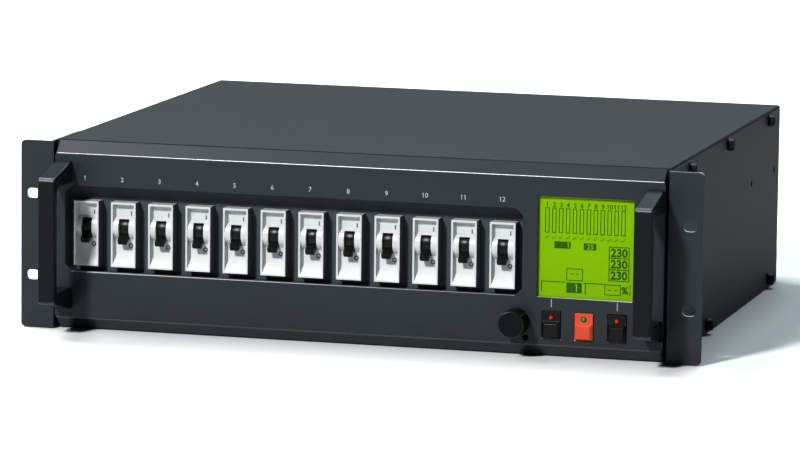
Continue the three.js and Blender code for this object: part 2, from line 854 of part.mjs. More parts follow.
function breakerBody() {
  const half = breakerWidth / 2;
  const middle = noseHeight / 2;
  const slotHalf = leverSlotWidth / 2;
  const nose = block(-half, half, 0, noseDepth + overrun, 0, noseHeight);
  const shoulders = block(
    -half, half, noseDepth, breakerDepth, middle - shoulderHeight / 2, middle + shoulderHeight / 2,
  );
  const notch = block(
    -breakerWidth, breakerWidth, breakerDepth - railNotchDepth, breakerDepth + overrun,
    middle - railHeight / 2 - fitGap, middle + railHeight / 2 + fitGap,
  );
  const barrel = rodX(barrelRadius, leverAxisHeight, barrelRadius, -half, half, barrelSides);
  const hollow = cut(dish(), barrel);
  const pocket = rodX(barrelRadius, leverAxisHeight, pocketRadius, -slotHalf, slotHalf, barrelSides);
  const mouth = block(
    -slotHalf, slotHalf, -overrun, barrelRadius,
    leverAxisHeight - leverSlotBelow, leverAxisHeight + leverSlotAbove,
  );
  const pivotHalf = drumWidth / 2 + pivotSink + fitGap;
  const pivot = rodX(
    barrelRadius, leverAxisHeight, pivotRadius + pivotGap, -pivotHalf, pivotHalf, smallRoundSides,
  );
  return cut(join(nose, shoulders), notch, hollow, pocket, mouth, pivot);
}

// Lever: drawn about its axis, with the nub at its rest angle below straight forwards
function breakerLever() {
  const drum = rodX(0, 0, drumRadius, -drumWidth / 2, drumWidth / 2, drumSides);
  const pivotHalf = drumWidth / 2 + pivotSink;
  const pivot = rodX(0, 0, pivotRadius, -pivotHalf, pivotHalf, smallRoundSides);
  const ridgePitch = (nubReach - nubRidgeStart) / nubRidgeCount;
  const upper = [];
  for (let i = 0; i < nubRidgeCount; i += 1) {
    const along = nubRidgeStart + i * ridgePitch;
    upper.push([along, nubTipHalf + nubRidgeDepth], [along + ridgePitch / 2, nubTipHalf + nubRidgeDepth]);
    upper.push([along + ridgePitch / 2, nubTipHalf], [along + ridgePitch, nubTipHalf]);
  }
  const points = [[0, -nubRootHalf], [nubReach, -nubTipHalf], ...upper.reverse(), [0, nubRootHalf]];
  const angle = Math.PI + degrees(leverRestAngle);
  const turnedPoints = points.map(([along, across]) => [
    along * Math.cos(angle) + across * Math.sin(angle),
    along * Math.sin(angle) - across * Math.cos(angle),
  ]);
  const nub = prismX(outline(turnedPoints), -nubWidth / 2, nubWidth / 2);
  return join(drum, pivot, nub);
}

// Rail and bulkhead

function dinRail() {
  const rowHalf = (breakerCount - 1) * breakerPitch / 2 + breakerWidth / 2 + railOverhang;
  const flange = railHeight / 2;
  const hat = railHatHeight / 2;
  const profile = outline([
    [railFront, flange], [railFront, hat - railSheet], [railBack - railSheet, hat - railSheet],
    [railBack - railSheet, railSheet - hat], [railFront, railSheet - hat], [railFront, -flange],
    [railFront + railSheet, -flange], [railFront + railSheet, -hat], [railBack, -hat],
    [railBack, hat], [railFront + railSheet, hat], [railFront + railSheet, flange],
  ]);
  const rail = prismX(profile, breakerRowCentreX - rowHalf, breakerRowCentreX + rowHalf);
  return rail.translate([0, 0, breakerCentreZ]);
}

function bulkhead() {
  const half = trayInnerHalf - fitGap;
  const back = bulkheadFront + bulkheadSheet;
  const wall = block(-half, half, bulkheadFront, back, trayFloorTop, coverInnerTop - bulkheadTopGap);
  const foot = block(
    -half, half, bulkheadFront, bulkheadFront + bulkheadFoot, trayFloorTop, trayFloorTop + bulkheadSheet,
  );
  const holes = [];
  for (let i = 0; i < bulkheadHoleCount; i += 1) {
    const x = -half + (i + 1 / 2) * half * 2 / bulkheadHoleCount;
    holes.push(rodY(x, bulkheadHoleHeight, bulkheadHoleRadius, bulkheadFront - overrun, back + overrun));
  }
  return cut(join(wall, foot), ...holes);
}

// Display, its lens and the board behind it

function displayLens() {
  return block(
    displayCentreX - displayWidth / 2 + fitGap, displayCentreX + displayWidth / 2 - fitGap,
    lensFront, lensFront + lensThickness,
    displayCentreZ - displayHeight / 2 + fitGap, displayCentreZ + displayHeight / 2 - fitGap,
  );
}

function displayModule() {
  const halfWidth = displayWidth / 2 + moduleMargin;
  const halfHeight = displayHeight / 2 + moduleMargin;
  const back = displayModuleFront + moduleDepth;
  const frame = chamferedRectangle(
    displayCentreX - halfWidth, displayCentreX + halfWidth,
    displayCentreZ - halfHeight, displayCentreZ + halfHeight, moduleMargin / 2,
  );
  const glass = rectangle(
    displayCentreX - displayWidth / 2, displayCentreX + displayWidth / 2,
    displayCentreZ - displayHeight / 2, displayCentreZ + displayHeight / 2,
  );
  const body = prismY(frame, displayModuleFront + moduleStep, back);
  return join(body, prismY(glass, displayModuleFront, back));
}

function controlBoard() {
  const back = boardFront + boardSheet;
  const moduleHalf = displayWidth / 2 + moduleMargin;
  const left = knobCentreX - boardKnobRoom;
  const right = displayCentreX + moduleHalf + boardSideRoom;
  const bottom = keyCentreZ - boardKeyRoom;
  const top = displayCentreZ + displayHeight / 2 + moduleMargin;
  const stepX = displayCentreX - moduleHalf + boardStepInset;
  const stepZ = knobCentreZ + boardKnobRise;
  const plan = outline([
    [left, bottom], [right, bottom], [right, top], [stepX, top], [stepX, stepZ], [left, stepZ],
  ]);
  const keyBack = fasciaBack + keySink;
  const switchFront = keyBack + keyTravel + keyStemGap;
  const stemRoom = keyBack + keyStemLength + keyTravel + keyStemGap;
  const switches = keyCentres().map((x) => cut(
    block(
      x - switchWidth / 2, x + switchWidth / 2, switchFront, back,
      keyCentreZ - switchWidth / 2, keyCentreZ + switchWidth / 2,
    ),
    rodY(x, keyCentreZ, keyStemRadius + keyStemGap, switchFront - overrun, stemRoom, mediumRoundSides),
  ));
  const coilX = displayCentreX + transformerOffset;
  const coilZ = displayCentreZ + transformerRise;
  const transformer = prismY(chamferedRectangle(
    coilX - transformerWidth / 2, coilX + transformerWidth / 2,
    coilZ - transformerHeight / 2, coilZ + transformerHeight / 2, transformerChamfer,
  ), boardFront, back + transformerDepth);
  return join(prismY(plan, boardFront, back), ...switches, transformer);
}

// Keys: drawn with the fascia's front at y = 0 and their middle at the origin

function key() {
  const halfWidth = keyWidth / 2;
  const halfHeight = keyHeight / 2;
  const back = fasciaSheet + keySink;
  const base = block(-halfWidth, halfWidth, -keyBaseProud, back, -halfHeight, halfHeight);
  const padTop = keyPadHeight - halfHeight;
  const side = outline([
    [0, padTop + keyPadChamfer], [-keyBaseProud, padTop + keyPadChamfer],
    [-keyPadProud, padTop], [-keyPadProud, keyFootChamfer - halfHeight],
    [keyFootChamfer - keyPadProud, -halfHeight], [0, -halfHeight],
  ]);
  const plan = outline([
    [-halfWidth, 0], [-halfWidth, -keyBaseProud], [keyPadChamfer - halfWidth, -keyPadProud],
    [halfWidth - keyPadChamfer, -keyPadProud], [halfWidth, -keyBaseProud], [halfWidth, 0],
  ]);
  const pad = prismX(side, -halfWidth, halfWidth).intersect(prismZ(plan, -halfHeight, halfHeight));
  const lampHole = rodY(0, lampRise, lampRadius + lampGap, -keyPadProud - overrun, back + overrun);
  const stem = rodY(0, 0, keyStemRadius, -keyBaseProud, back + keyStemLength, mediumRoundSides);
  return join(cut(join(base, pad), lampHole), stem);
}

function lamp() {
  const front = -keyBaseProud;
  const profile = [
    [0, front - lampDome],
    [lampRadius * Math.cos(Math.PI / 3), front - lampDome * Math.sin(Math.PI / 3)],
    [lampRadius * Math.cos(Math.PI / 6), front - lampDome * Math.sin(Math.PI / 6)],
    [lampRadius, front], [lampRadius, fasciaSheet], [0, fasciaSheet],
  ];
  return turned(0, lampRise, profile, mediumRoundSides);
}

// Encoder, shaft and knob: drawn with the fascia's front at y = 0 and their axis at x = 0, z = 0

function encoderBody() {
  const half = encoderSize / 2;
  const front = fasciaSheet + fitGap;
  const back = boardFront - fasciaFront - fitGap;
  const can = prismY(chamferedRectangle(-half, half, -half, half, encoderChamfer), front, back);
  const bush = rodY(0, 0, bushRadius, -knobLift / 2, back);
  const bore = rodY(0, 0, shaftRadius + shaftGap, -knobLift, back - fasciaSheet);
  return cut(join(can, bush), bore);
}

function encoderShaft() {
  const back = boardFront - fasciaFront - fitGap - fasciaSheet - shaftGap;
  const front = shaftGap - knobLift - knobBoreDepth;
  return rodY(0, 0, shaftRadius, front, back);
}

function encoderKnob() {
  const front = -knobLift - knobLength;
  const body = turned(0, 0, [
    [0, front], [knobFrontRadius - knobEdge, front], [knobFrontRadius, front + knobEdge],
    [knobSkirtRadius, -knobLift], [0, -knobLift],
  ], knobSides);
  const bore = rodY(0, 0, shaftRadius + shaftGap, -knobLift - knobBoreDepth, overrun);
  const groove = block(
    knobFrontRadius - knobGrooveDepth, knobSkirtRadius + overrun, front - overrun, -knobLift + overrun,
    -knobGrooveWidth / 2, knobGrooveWidth / 2,
  ).rotate([0, -knobGrooveAngle, 0]);
  return cut(body, bore, groove);
}

// Heat sink, power board, chokes and terminals

function heatSink() {
  const left = sinkCentreX - sinkWidth / 2;
  const bottom = trayFloorTop;
  const top = bottom + sinkHeight;
  const pitch = (sinkWidth - finSheet) / (finCount - 1);
  const base = block(left, left + sinkWidth, powerStart, sinkBack, top - sinkBase, top);
  const fins = [];
  for (let i = 0; i < finCount; i += 1) {
    const x = left + i * pitch;
    fins.push(block(x, x + finSheet, powerStart, sinkBack, bottom, top - sinkBase / 2));
  }
  return join(base, ...fins);
}

function powerBoard() {
  const bottom = trayFloorTop + sinkHeight + fitGap;
  const top = bottom + moduleHeight;
  const centreY = (powerStart + sinkBack) / 2;
  const pitchX = (sinkWidth - moduleSideRoom * 2) / moduleColumns;
  const pitchY = (sinkBack - powerStart - moduleEndRoom * 2) / moduleRows;
  const halfX = moduleColumns * pitchX / 2 + powerBoardMargin;
  const halfY = moduleRows * pitchY / 2;
  const board = block(
    sinkCentreX - halfX, sinkCentreX + halfX, centreY - halfY, centreY + halfY, top, top + boardSheet,
  );
  const modules = [];
  for (let column = 0; column < moduleColumns; column += 1) {
    for (let row = 0; row < moduleRows; row += 1) {
      const x = sinkCentreX + (column - (moduleColumns - 1) / 2) * pitchX;
      const y = centreY + (row - (moduleRows - 1) / 2) * pitchY;
      modules.push(block(
        x - moduleWidth / 2, x + moduleWidth / 2, y - moduleLength / 2, y + moduleLength / 2,
        bottom, top + boardSheet / 2,
      ));
    }
  }
  return join(board, ...modules);
}

function chokeBank() {
  const bottom = trayFloorTop;
  const plateTop = bottom + chokePlate;
  const right = trayInnerHalf - powerSideGap;
  const left = right - chokeBankWidth;
  const pitchX = chokeBankWidth / chokeColumns;
  const pitchY = chokeBankLength / chokeRows;
  const outerRadius = Math.min(pitchX, pitchY) / 2 - chokeGap;
  const innerRadius = outerRadius * chokeBoreShare;
  const plate = block(left, right, powerStart, powerStart + chokeBankLength, bottom, plateTop);
  const low = plateTop - chokePlate / 2;
  const high = plateTop + chokeHeight;
  const ring = [
    [innerRadius, low], [outerRadius, low], [outerRadius - chokeEdge, high],
    [innerRadius + chokeEdge, high], [innerRadius, low],
  ].map(([radius, z]) => new THREE.Vector2(radius, z));
  const core = solidOf(new THREE.LatheGeometry(ring, mediumRoundSides).rotateX(Math.PI / 2));
  const rings = [];
  for (let column = 0; column < chokeColumns; column += 1) {
    for (let row = 0; row < chokeRows; row += 1) {
      const x = left + (column + 1 / 2) * pitchX;
      const y = powerStart + (row + 1 / 2) * pitchY;
      rings.push(core.translate([x, y, 0]));
    }
  }
  return join(plate, ...rings);
}

function terminalBlock() {
  const width = terminalPoles * terminalPitch;
  const left = glandCentreX - terminalOffset - width / 2;
  const front = terminalCentreY - terminalDepth / 2;
  const back = terminalCentreY + terminalDepth / 2;
  const top = trayFloorTop + terminalHeight;
  const profile = outline([
    [front, trayFloorTop], [back, trayFloorTop], [back, top - terminalStep],
    [back - terminalStep, top], [front + terminalStep, top], [front, top - terminalStep],
  ]);
  const holes = [];
  for (let pole = 0; pole < terminalPoles; pole += 1) {
    const x = left + (pole + 1 / 2) * terminalPitch;
    const z = trayFloorTop + terminalHeight / 2 - terminalWireRadius;
    holes.push(rodY(x, z, terminalWireRadius, front - overrun, back + overrun, smallRoundSides));
  }
  return cut(prismX(profile, left, left + width), ...holes);
}

// Fans: drawn with the fan's back at y = 0 and its axis at x = 0, z = 0

function fanFrame() {
  const half = fanSize / 2;
  const square = roundedRectangle(-half, half, -half, half, fanCornerRadius);
  const waistHalf = half - fanWaist;
  const waist = roundedRectangle(-waistHalf, waistHalf, -waistHalf, waistHalf, fanCornerRadius);
  const body = join(
    prismY(square, -fanDepth, fanFlange - fanDepth, cornerSteps),
    prismY(square, -fanFlange, 0, cornerSteps),
    prismY(waist, -fanDepth, 0, cornerSteps),
  );
  const bore = rodY(0, 0, fanBoreRadius, -fanDepth - overrun, overrun, barrelSides);
  const motor = rodY(0, 0, fanMotorRadius, -fanMotorDepth, 0);
  const spokes = [];
  for (let i = 0; i < fanSpokeCount; i += 1) {
    const spoke = block(
      0, fanBoreRadius + fanWaist / 2, -fanMotorDepth, 0, -fanSpokeWidth / 2, fanSpokeWidth / 2,
    );
    spokes.push(spoke.rotate([0, 360 * (i + 1 / 2) / fanSpokeCount, 0]));
  }
  return join(cut(body, bore), motor, ...spokes);
}

function fanRotor() {
  const back = -fanMotorDepth - fitGap * 2;
  const front = -fanDepth + fanHubFrontGap;
  const hub = rodY(0, 0, fanHubRadius, front, back, roundSides);
  const middle = (front + back) / 2;
  const blades = [];
  for (let i = 0; i < bladeCount; i += 1) {
    const half = bladeDepth / 2;
    const chord = block(0, bladeReach, -half, half, -bladeSheet / 2, bladeSheet / 2);
    const pitched = chord.rotate([bladePitchAngle, 0, 0]);
    blades.push(pitched.translate([0, middle, 0]).rotate([0, 360 * i / bladeCount, 0]));
  }
  return join(hub, ...blades);
}

// Output socket: drawn with the rear panel's back at y = 0 and its middle at x = 0, z = 0
function outputSocket() {
  const halfWidth = outputCollarWidth / 2;
  const halfHeight = outputCollarHeight / 2;
  const flangeX = outputFlangeWidth / 2;
  const flangeZ = outputFlangeHeight / 2;
  const sink = rearPanelSheet + outputBackDepth;
  const flange = prismY(
    roundedRectangle(-flangeX, flangeX, -flangeZ, flangeZ, outputWall), fitGap, outputFlangeSheet,
  );
  const collarBack = outputFlangeSheet + outputCollarDepth;
  const collar = block(-halfWidth, halfWidth, -sink, collarBack, -halfHeight, halfHeight);
  const cavityX = halfWidth - outputWall;
  const cavityZ = halfHeight - outputWall;
  const cavity = block(-cavityX, cavityX, 0, collarBack + overrun, -cavityZ, cavityZ);
  const insertX = cavityX - outputInsertGap;
  const insertZ = cavityZ - outputInsertGap;
  const insertTop = collarBack - outputInsertSetback;
  const insert = block(-insertX, insertX, -overrun, insertTop, -insertZ, insertZ);
  const contactPitch = (outputCollarWidth - contactEndRoom * 2) / contactColumns;
  const contactRow = halfHeight - contactRowRoom;
  const contacts = [];
  for (let column = 0; column < contactColumns; column += 1) {
    for (const row of [-1, 1]) {
      const x = (column - (contactColumns - 1) / 2) * contactPitch;
      contacts.push(rodY(
        x, row * contactRow, contactRadius, insertTop - contactDepth, insertTop + overrun,
        smallRoundSides,
      ));
    }
  }
  const pegs = rodX(
    collarBack / 2 + outputFlangeSheet, 0, pegRadius, -halfWidth - pegLength, halfWidth + pegLength,
    smallRoundSides,
  );
  const shell = cut(join(flange, collar, pegs), cavity);
  return cut(join(shell, insert), ...contacts);
}

// Mains gland: drawn with the rear panel's back at y = 0 and its axis at x = 0, z = 0
function mainsGland() {
  const flangeEnd = glandFlangeDepth;
  const nutEnd = flangeEnd + glandNutDepth;
  const domeEnd = nutEnd + glandDomeDepth;
  const inside = -rearPanelSheet - glandTail;
  const lockFront = -rearPanelSheet - fitGap;
  const domeRadius = glandBoreRadius + (glandThreadRadius - glandBoreRadius) * glandDomeShare;
  const core = turned(0, 0, [
    [glandBoreRadius, inside], [glandThreadRadius, inside], [glandThreadRadius, nutEnd],
    [domeRadius, domeEnd], [glandBoreRadius, domeEnd], [glandBoreRadius, inside],
  ], roundSides);
  const bore = rodY(0, 0, glandBoreRadius, inside - overrun, domeEnd + overrun);
  const hexes = join(
    polygonY(0, 0, glandHexRadius, fitGap, flangeEnd, hexCorners),
    polygonY(0, 0, glandNutRadius, flangeEnd + glandNutGap, nutEnd, hexCorners),
    polygonY(0, 0, glandHexRadius, lockFront - glandLockDepth, lockFront, hexCorners),
  );
  return join(core, cut(hexes, bore));
}

// Control sockets: drawn with the rear panel's back at y = 0 and their axis at x = 0, z = 0

function controlShell() {
  const halfX = controlFlangeWidth / 2;
  const halfZ = controlFlangeHeight / 2;
  const flange = prismY(
    roundedRectangle(-halfX, halfX, -halfZ, halfZ, controlFlangeSheet), fitGap, fitGap + controlFlangeSheet,
  );
  return join(flange, rodY(0, 0, controlBarrelRadius, -controlBarrelDepth, fitGap + controlFlangeSheet));
}

function contactPins(radius, y0, y1) {
  const pins = [];
  for (let i = 0; i < controlPinCount; i += 1) {
    const angle = degrees(controlPinSpread * (i / (controlPinCount - 1) - 1 / 2) + 90);
    const x = controlPinCircle * Math.cos(angle);
    const z = controlPinCircle * Math.sin(angle);
    pins.push(rodY(x, z, radius, y0, y1, smallRoundSides));
  }
  return join(...pins);
}

function controlInSocket() {
  const face = fitGap + controlFlangeSheet;
  const floor = face - controlCavityDepth;
  const cavity = rodY(0, 0, controlCavityRadius, floor, face + overrun);
  return join(cut(controlShell(), cavity), contactPins(controlPinRadius, floor - overrun, face - overrun));
}

function controlOutSocket() {
  const face = fitGap + controlFlangeSheet;
  const floor = face - controlCavityDepth;
  const cavity = rodY(0, 0, controlCavityRadius, floor, face + overrun);
  const plug = rodY(0, 0, controlCavityRadius - controlRingWall, floor - overrun, face);
  const ring = cut(cavity, plug);
  return cut(controlShell(), ring, contactPins(controlPinRadius, floor, face + overrun));
}

// The assembly

const pack = new THREE.Group();

function addCasing() {
  pack.add(
    piece('base_tray', baseTray(), finishes.coverPaint),
    piece('top_cover', topCover(), finishes.coverPaint),
    piece('rear_panel', rearPanel(), finishes.coverPaint),
    piece('front_fascia', frontFascia(), finishes.fasciaPaint),
    piece('recess_tray', recessTray(), finishes.panPaint),
    piece('rack_ear_left', rackEar(-1), finishes.fasciaPaint),
    piece('rack_ear_right', rackEar(1), finishes.fasciaPaint),
  );
  const bow = handle();
  const offset = fasciaHalf - handleEdgeGap - handleWidth / 2;
  const centreZ = (fasciaTop + fasciaBottom) / 2 + handleRise;
  [['handle_left', -1], ['handle_right', 1]].forEach(([name, side]) => {
    pack.add(placed(name, bow, finishes.handlePaint, side * offset, fasciaFront, centreZ));
  });
}

function addBreakers() {
  const body = breakerBody();
  const lever = breakerLever();
  breakerCentres().forEach((x, i) => {
    const number = String(i + 1).padStart(2, '0');
    pack.add(
      placed(`breaker_${number}`, body, finishes.breakerBody, x, breakerFront, noseBottom),
      placed(
        `breaker_lever_${number}`, lever, finishes.blackPlastic,
        x, leverAxisY, noseBottom + leverAxisHeight,
      ),
    );
  });
  pack.add(piece('din_rail', dinRail(), finishes.zinc), piece('bulkhead', bulkhead(), finishes.zinc));
}

function addControls() {
  const keySolid = key();
  const lampSolid = lamp();
  const keyFinishes = [finishes.blackPlastic, finishes.orangePlastic, finishes.blackPlastic];
  const lampFinishes = [finishes.redLamp, finishes.greenLamp, finishes.redLamp];
  keyCentres().forEach((x, i) => {
    const place = ['left', 'centre', 'right'][i];
    pack.add(
      placed(`button_${place}`, keySolid, keyFinishes[i], x, fasciaFront, keyCentreZ),
      placed(`led_${place}`, lampSolid, lampFinishes[i], x, fasciaFront, keyCentreZ),
    );
  });
  pack.add(
    piece('display_module', displayModule(), finishes.display),
    piece('display_lens', displayLens(), finishes.lens),
    piece('control_board', controlBoard(), finishes.board),
    placed('encoder_body', encoderBody(), finishes.steel, knobCentreX, fasciaFront, knobCentreZ),
    placed('encoder_shaft', encoderShaft(), finishes.steel, knobCentreX, fasciaFront, knobCentreZ),
    placed('encoder_knob', encoderKnob(), finishes.knobPlastic, knobCentreX, fasciaFront, knobCentreZ),
  );
}

function addPowerStage() {
  pack.add(
    piece('heat_sink', heatSink(), finishes.aluminium),
    piece('power_board', powerBoard(), finishes.board),
    piece('choke_bank', chokeBank(), finishes.core),
    piece('terminal_block', terminalBlock(), finishes.greyPlastic),
  );
  const frame = fanFrame();
  const rotor = fanRotor();
  fanCentres.forEach((x, i) => {
    pack.add(
      placed(`fan_frame_${i + 1}`, frame, finishes.blackPlastic, x, fanBack, fanCentreZ),
      placed(`fan_rotor_${i + 1}`, rotor, finishes.blackPlastic, x, fanBack, fanCentreZ),
    );
  });
}

function addSockets() {
  const output = outputSocket();
  outputHeights.forEach((z, i) => {
    const name = `output_socket_${i + 1}`;
    pack.add(placed(name, output, finishes.greyPlastic, outputCentreX, rearPanelBack, z));
  });
  pack.add(
    placed('mains_gland', mainsGland(), finishes.blackPlastic, glandCentreX, rearPanelBack, glandCentreZ),
    placed(
      'control_in_socket', controlInSocket(), finishes.steel, controlInX, rearPanelBack, controlCentreZ,
    ),
    placed(
      'control_out_socket', controlOutSocket(), finishes.steel, controlOutX, rearPanelBack, controlCentreZ,
    ),
  );
}

addCasing();
addBreakers();
addControls();
addPowerStage();
addSockets();

const rearmost = rearPanelBack + glandFlangeDepth + glandNutDepth + glandDomeDepth;
pack.position.y = -(handleFront + rearmost) / 2;

export default pack;
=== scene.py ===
"""Looks of a twelve-way dimmer pack in a 19-inch rack case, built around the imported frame.
Metres. +X runs to the right along the front, +Y to the back, +Z up."""

import json
import math

import bpy
from mathutils import Matrix, Vector


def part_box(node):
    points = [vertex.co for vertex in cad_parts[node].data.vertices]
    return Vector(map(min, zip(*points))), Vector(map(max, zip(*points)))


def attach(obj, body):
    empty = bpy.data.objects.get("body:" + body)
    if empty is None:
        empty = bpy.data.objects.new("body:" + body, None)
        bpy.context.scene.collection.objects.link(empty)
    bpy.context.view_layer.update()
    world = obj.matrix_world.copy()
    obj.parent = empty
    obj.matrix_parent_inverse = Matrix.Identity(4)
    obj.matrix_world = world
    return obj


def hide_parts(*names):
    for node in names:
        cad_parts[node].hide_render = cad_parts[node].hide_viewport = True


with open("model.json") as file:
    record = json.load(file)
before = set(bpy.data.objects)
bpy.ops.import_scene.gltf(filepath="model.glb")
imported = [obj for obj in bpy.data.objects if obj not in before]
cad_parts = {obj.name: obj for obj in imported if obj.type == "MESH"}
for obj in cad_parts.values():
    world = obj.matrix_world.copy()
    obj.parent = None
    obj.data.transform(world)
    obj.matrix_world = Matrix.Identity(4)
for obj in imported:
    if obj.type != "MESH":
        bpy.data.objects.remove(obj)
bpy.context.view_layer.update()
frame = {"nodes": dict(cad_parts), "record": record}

# Lengths written with MM are in metres. Those without it are in mm, and get it where they are used.
MM = 0.001
CHANNELS = 12


# Small helpers


def linear(colour):
    """An sRGB hex colour as linear red, green, blue and alpha."""
    channels = [int(colour[i : i + 2], 16) / 255 for i in (1, 3, 5)]
    return [c / 12.92 if c <= 0.04045 else ((c + 0.055) / 1.055) ** 2.4 for c in channels] + [1]


def add(tree, kind, inputs=None, **settings):
    """Adds a shader node with its settings, and its inputs as values or as sockets to link."""
    node = tree.nodes.new("ShaderNode" + kind)
    for name, value in settings.items():
        setattr(node, name, value)
    for name, value in (inputs or {}).items():
        if isinstance(value, bpy.types.NodeSocket):
            tree.links.new(value, node.inputs[name])
        else:
            node.inputs[name].default_value = value
    return node


def per(size_mm):
    """The scale of a pattern with features of about this size."""
    return 1 / (size_mm * MM)


def material(name):
    """A new node material, its tree, its shader and the object coordinates."""
    made = bpy.data.materials.new(name)
    made.use_nodes = True
    tree = made.node_tree
    shader = tree.nodes["Principled BSDF"]
    place = add(tree, "TexCoord").outputs["Object"]
    return made, tree, shader, place


def settle(shader, **values):
    """Sets values on the shader's own sockets."""
    for name, value in values.items():
        shader.inputs[name.replace("_", " ").title().replace("Ior", "IOR")].default_value = value


def clouded(tree, place, dark, light, size_mm, detail=3):
    """A colour that drifts between two shades, with patches of this size."""
    drift = add(tree, "TexNoise", {"Vector": place, "Scale": per(size_mm), "Detail": detail})
    mix = add(
        tree, "Mix", {"Factor": drift.outputs["Fac"], 6: linear(dark), 7: linear(light)}, data_type="RGBA",
    )
    return mix.outputs[2], drift.outputs["Fac"]


def grained(tree, shader, place, size_mm, height_mm, low, high, detail=2):
    """A fine grain as bump, which also varies the roughness between two values."""
    grain = add(tree, "TexNoise", {"Vector": place, "Scale": per(size_mm), "Detail": detail})
    bump = add(
        tree, "Bump", {"Height": grain.outputs["Fac"], "Distance": height_mm * MM, "Strength": 1.0},
    )
    tree.links.new(bump.outputs["Normal"], shader.inputs["Normal"])
    spread = add(tree, "MapRange", {"Value": grain.outputs["Fac"], "To Min": low, "To Max": high})
    tree.links.new(spread.outputs["Result"], shader.inputs["Roughness"])
    return grain.outputs["Fac"]


# Finishes


def powder_coat(name, dark, light, low, high, grain_mm=0.9, height_mm=0.012, gloss=0.3):
    """Polyester powder coat baked on steel sheet: satin, with a faint orange peel that breaks up reflections.
    The real peel is about 0.3 mm, drawn at 0.9 mm so that it shows."""
    made, tree, shader, place = material(name)
    colour, _ = clouded(tree, place, dark, light, 90)
    tree.links.new(colour, shader.inputs["Base Color"])
    grained(tree, shader, place, grain_mm, height_mm, low, high)
    settle(shader, ior=1.5, specular_ior_level=gloss)
    return made


def moulded(name, dark, light, low, high, grain_mm=0.5, height_mm=0.004, sheen_level=0.5):
    """Thermoplastic moulded in a spark-eroded tool: an even, fine matt texture.
    The real texture is about 0.05 mm, drawn at 0.5 mm so that it shows.
    A lower specular level stands for a texture that traps the reflected light."""
    made, tree, shader, place = material(name)
    colour, _ = clouded(tree, place, dark, light, 12)
    tree.links.new(colour, shader.inputs["Base Color"])
    grained(tree, shader, place, grain_mm, height_mm, low, high)
    settle(shader, ior=1.5, specular_ior_level=sheen_level)
    return made


def lamp_lens(name, dark, light, glow):
    """Tinted epoxy lens of a small lamp: glossy, its tint drifting in small patches, lit from within."""
    made, tree, shader, place = material(name)
    colour, _ = clouded(tree, place, dark, light, 1.2)
    tree.links.new(colour, shader.inputs["Base Color"])
    tree.links.new(colour, shader.inputs["Emission Color"])
    grained(tree, shader, place, 0.4, 0.001, 0.12, 0.2)
    shader.inputs["Emission Strength"].default_value = glow
    settle(shader, ior=1.54)
    return made


def plated(name, dark, light, low, high, brush_mm=0.25, along=(1, 1, 14)):
    """Plated or bare metal sheet with fine drawing lines, which stretch its highlights.
    The real lines are about 0.05 mm apart, drawn at 0.25 mm so that they show."""
    made, tree, shader, place = material(name)
    stretched = add(tree, "Mapping", {"Vector": place, "Scale": along})
    colour, _ = clouded(tree, place, dark, light, 25)
    tree.links.new(colour, shader.inputs["Base Color"])
    grained(tree, shader, stretched.outputs["Vector"], brush_mm, 0.002, low, high)
    settle(shader, metallic=1.0)
    return made


def backlit_panel():
    """Liquid crystal over an edge-lit sheet: an even yellow-green behind a matt polariser."""
    made, tree, shader, place = material("backlit_crystal_panel")
    low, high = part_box("display_module")
    height = add(tree, "SeparateXYZ", {"Vector": place}).outputs["Z"]
    rise = add(tree, "MapRange", {"Value": height, "From Min": low.z, "From Max": high.z})
    drift = add(tree, "TexNoise", {"Vector": place, "Scale": per(30), "Detail": 1})
    mixed = add(tree, "Math", {0: drift.outputs["Fac"], 1: rise.outputs["Result"]}, operation="MULTIPLY")
    colour = add(
        tree, "Mix", {"Factor": mixed.outputs["Value"], 6: linear("#709601"), 7: linear("#759E01")},
        data_type="RGBA",
    ).outputs[2]
    tree.links.new(colour, shader.inputs["Base Color"])
    tree.links.new(colour, shader.inputs["Emission Color"])
    shader.inputs["Emission Strength"].default_value = 0.12
    grained(tree, shader, place, 0.6, 0.002, 0.5, 0.6)
    settle(shader, specular_ior_level=0.05)
    return made


def clear_acrylic():
    """Cast acrylic sheet: clear, glossy, so only its reflections show."""
    made, tree, shader, place = material("clear_cast_acrylic")
    drift = add(tree, "TexNoise", {"Vector": place, "Scale": per(20), "Detail": 1})
    spread = add(tree, "MapRange", {"Value": drift.outputs["Fac"], "To Min": 0.04, "To Max": 0.09})
    tree.links.new(spread.outputs["Result"], shader.inputs["Roughness"])
    settle(shader, base_color=linear("#4C6A10"), ior=1.49, alpha=0.03, specular_ior_level=0.2)
    return made


def solder_mask():
    """Green solder mask over copper: glossy, with darker traces under it."""
    made, tree, shader, place = material("solder_mask_green")
    traces = add(tree, "TexBrick", {
        "Vector": place, "Scale": per(22), "Color1": linear("#14512C"), "Color2": linear("#1A5F35"),
        "Mortar": linear("#0B3A1E"), "Mortar Size": 0.03,
    })
    tree.links.new(traces.outputs["Color"], shader.inputs["Base Color"])
    grained(tree, shader, place, 0.8, 0.003, 0.3, 0.45)
    return made


def wound_wire():
    """Enamelled copper wire wound round a ring core: warm brown, with a ridge for each turn.
    A wave's ridges lie about a third of its size apart, so 6 mm gives turns of about 2 mm."""
    made, tree, shader, place = material("enamelled_copper_winding")
    turns = add(tree, "TexWave", {
        "Vector": place, "Scale": per(6), "Distortion": 1.5, "Detail": 1,
    }, wave_type="RINGS", rings_direction="SPHERICAL")
    colour = add(
        tree, "Mix", {"Factor": turns.outputs["Fac"], 6: linear("#4A2A10"), 7: linear("#A2672C")},
        data_type="RGBA",
    ).outputs[2]
    tree.links.new(colour, shader.inputs["Base Color"])
    grained(tree, shader, place, 0.6, 0.01, 0.3, 0.5)
    settle(shader, metallic=0.6)
    return made


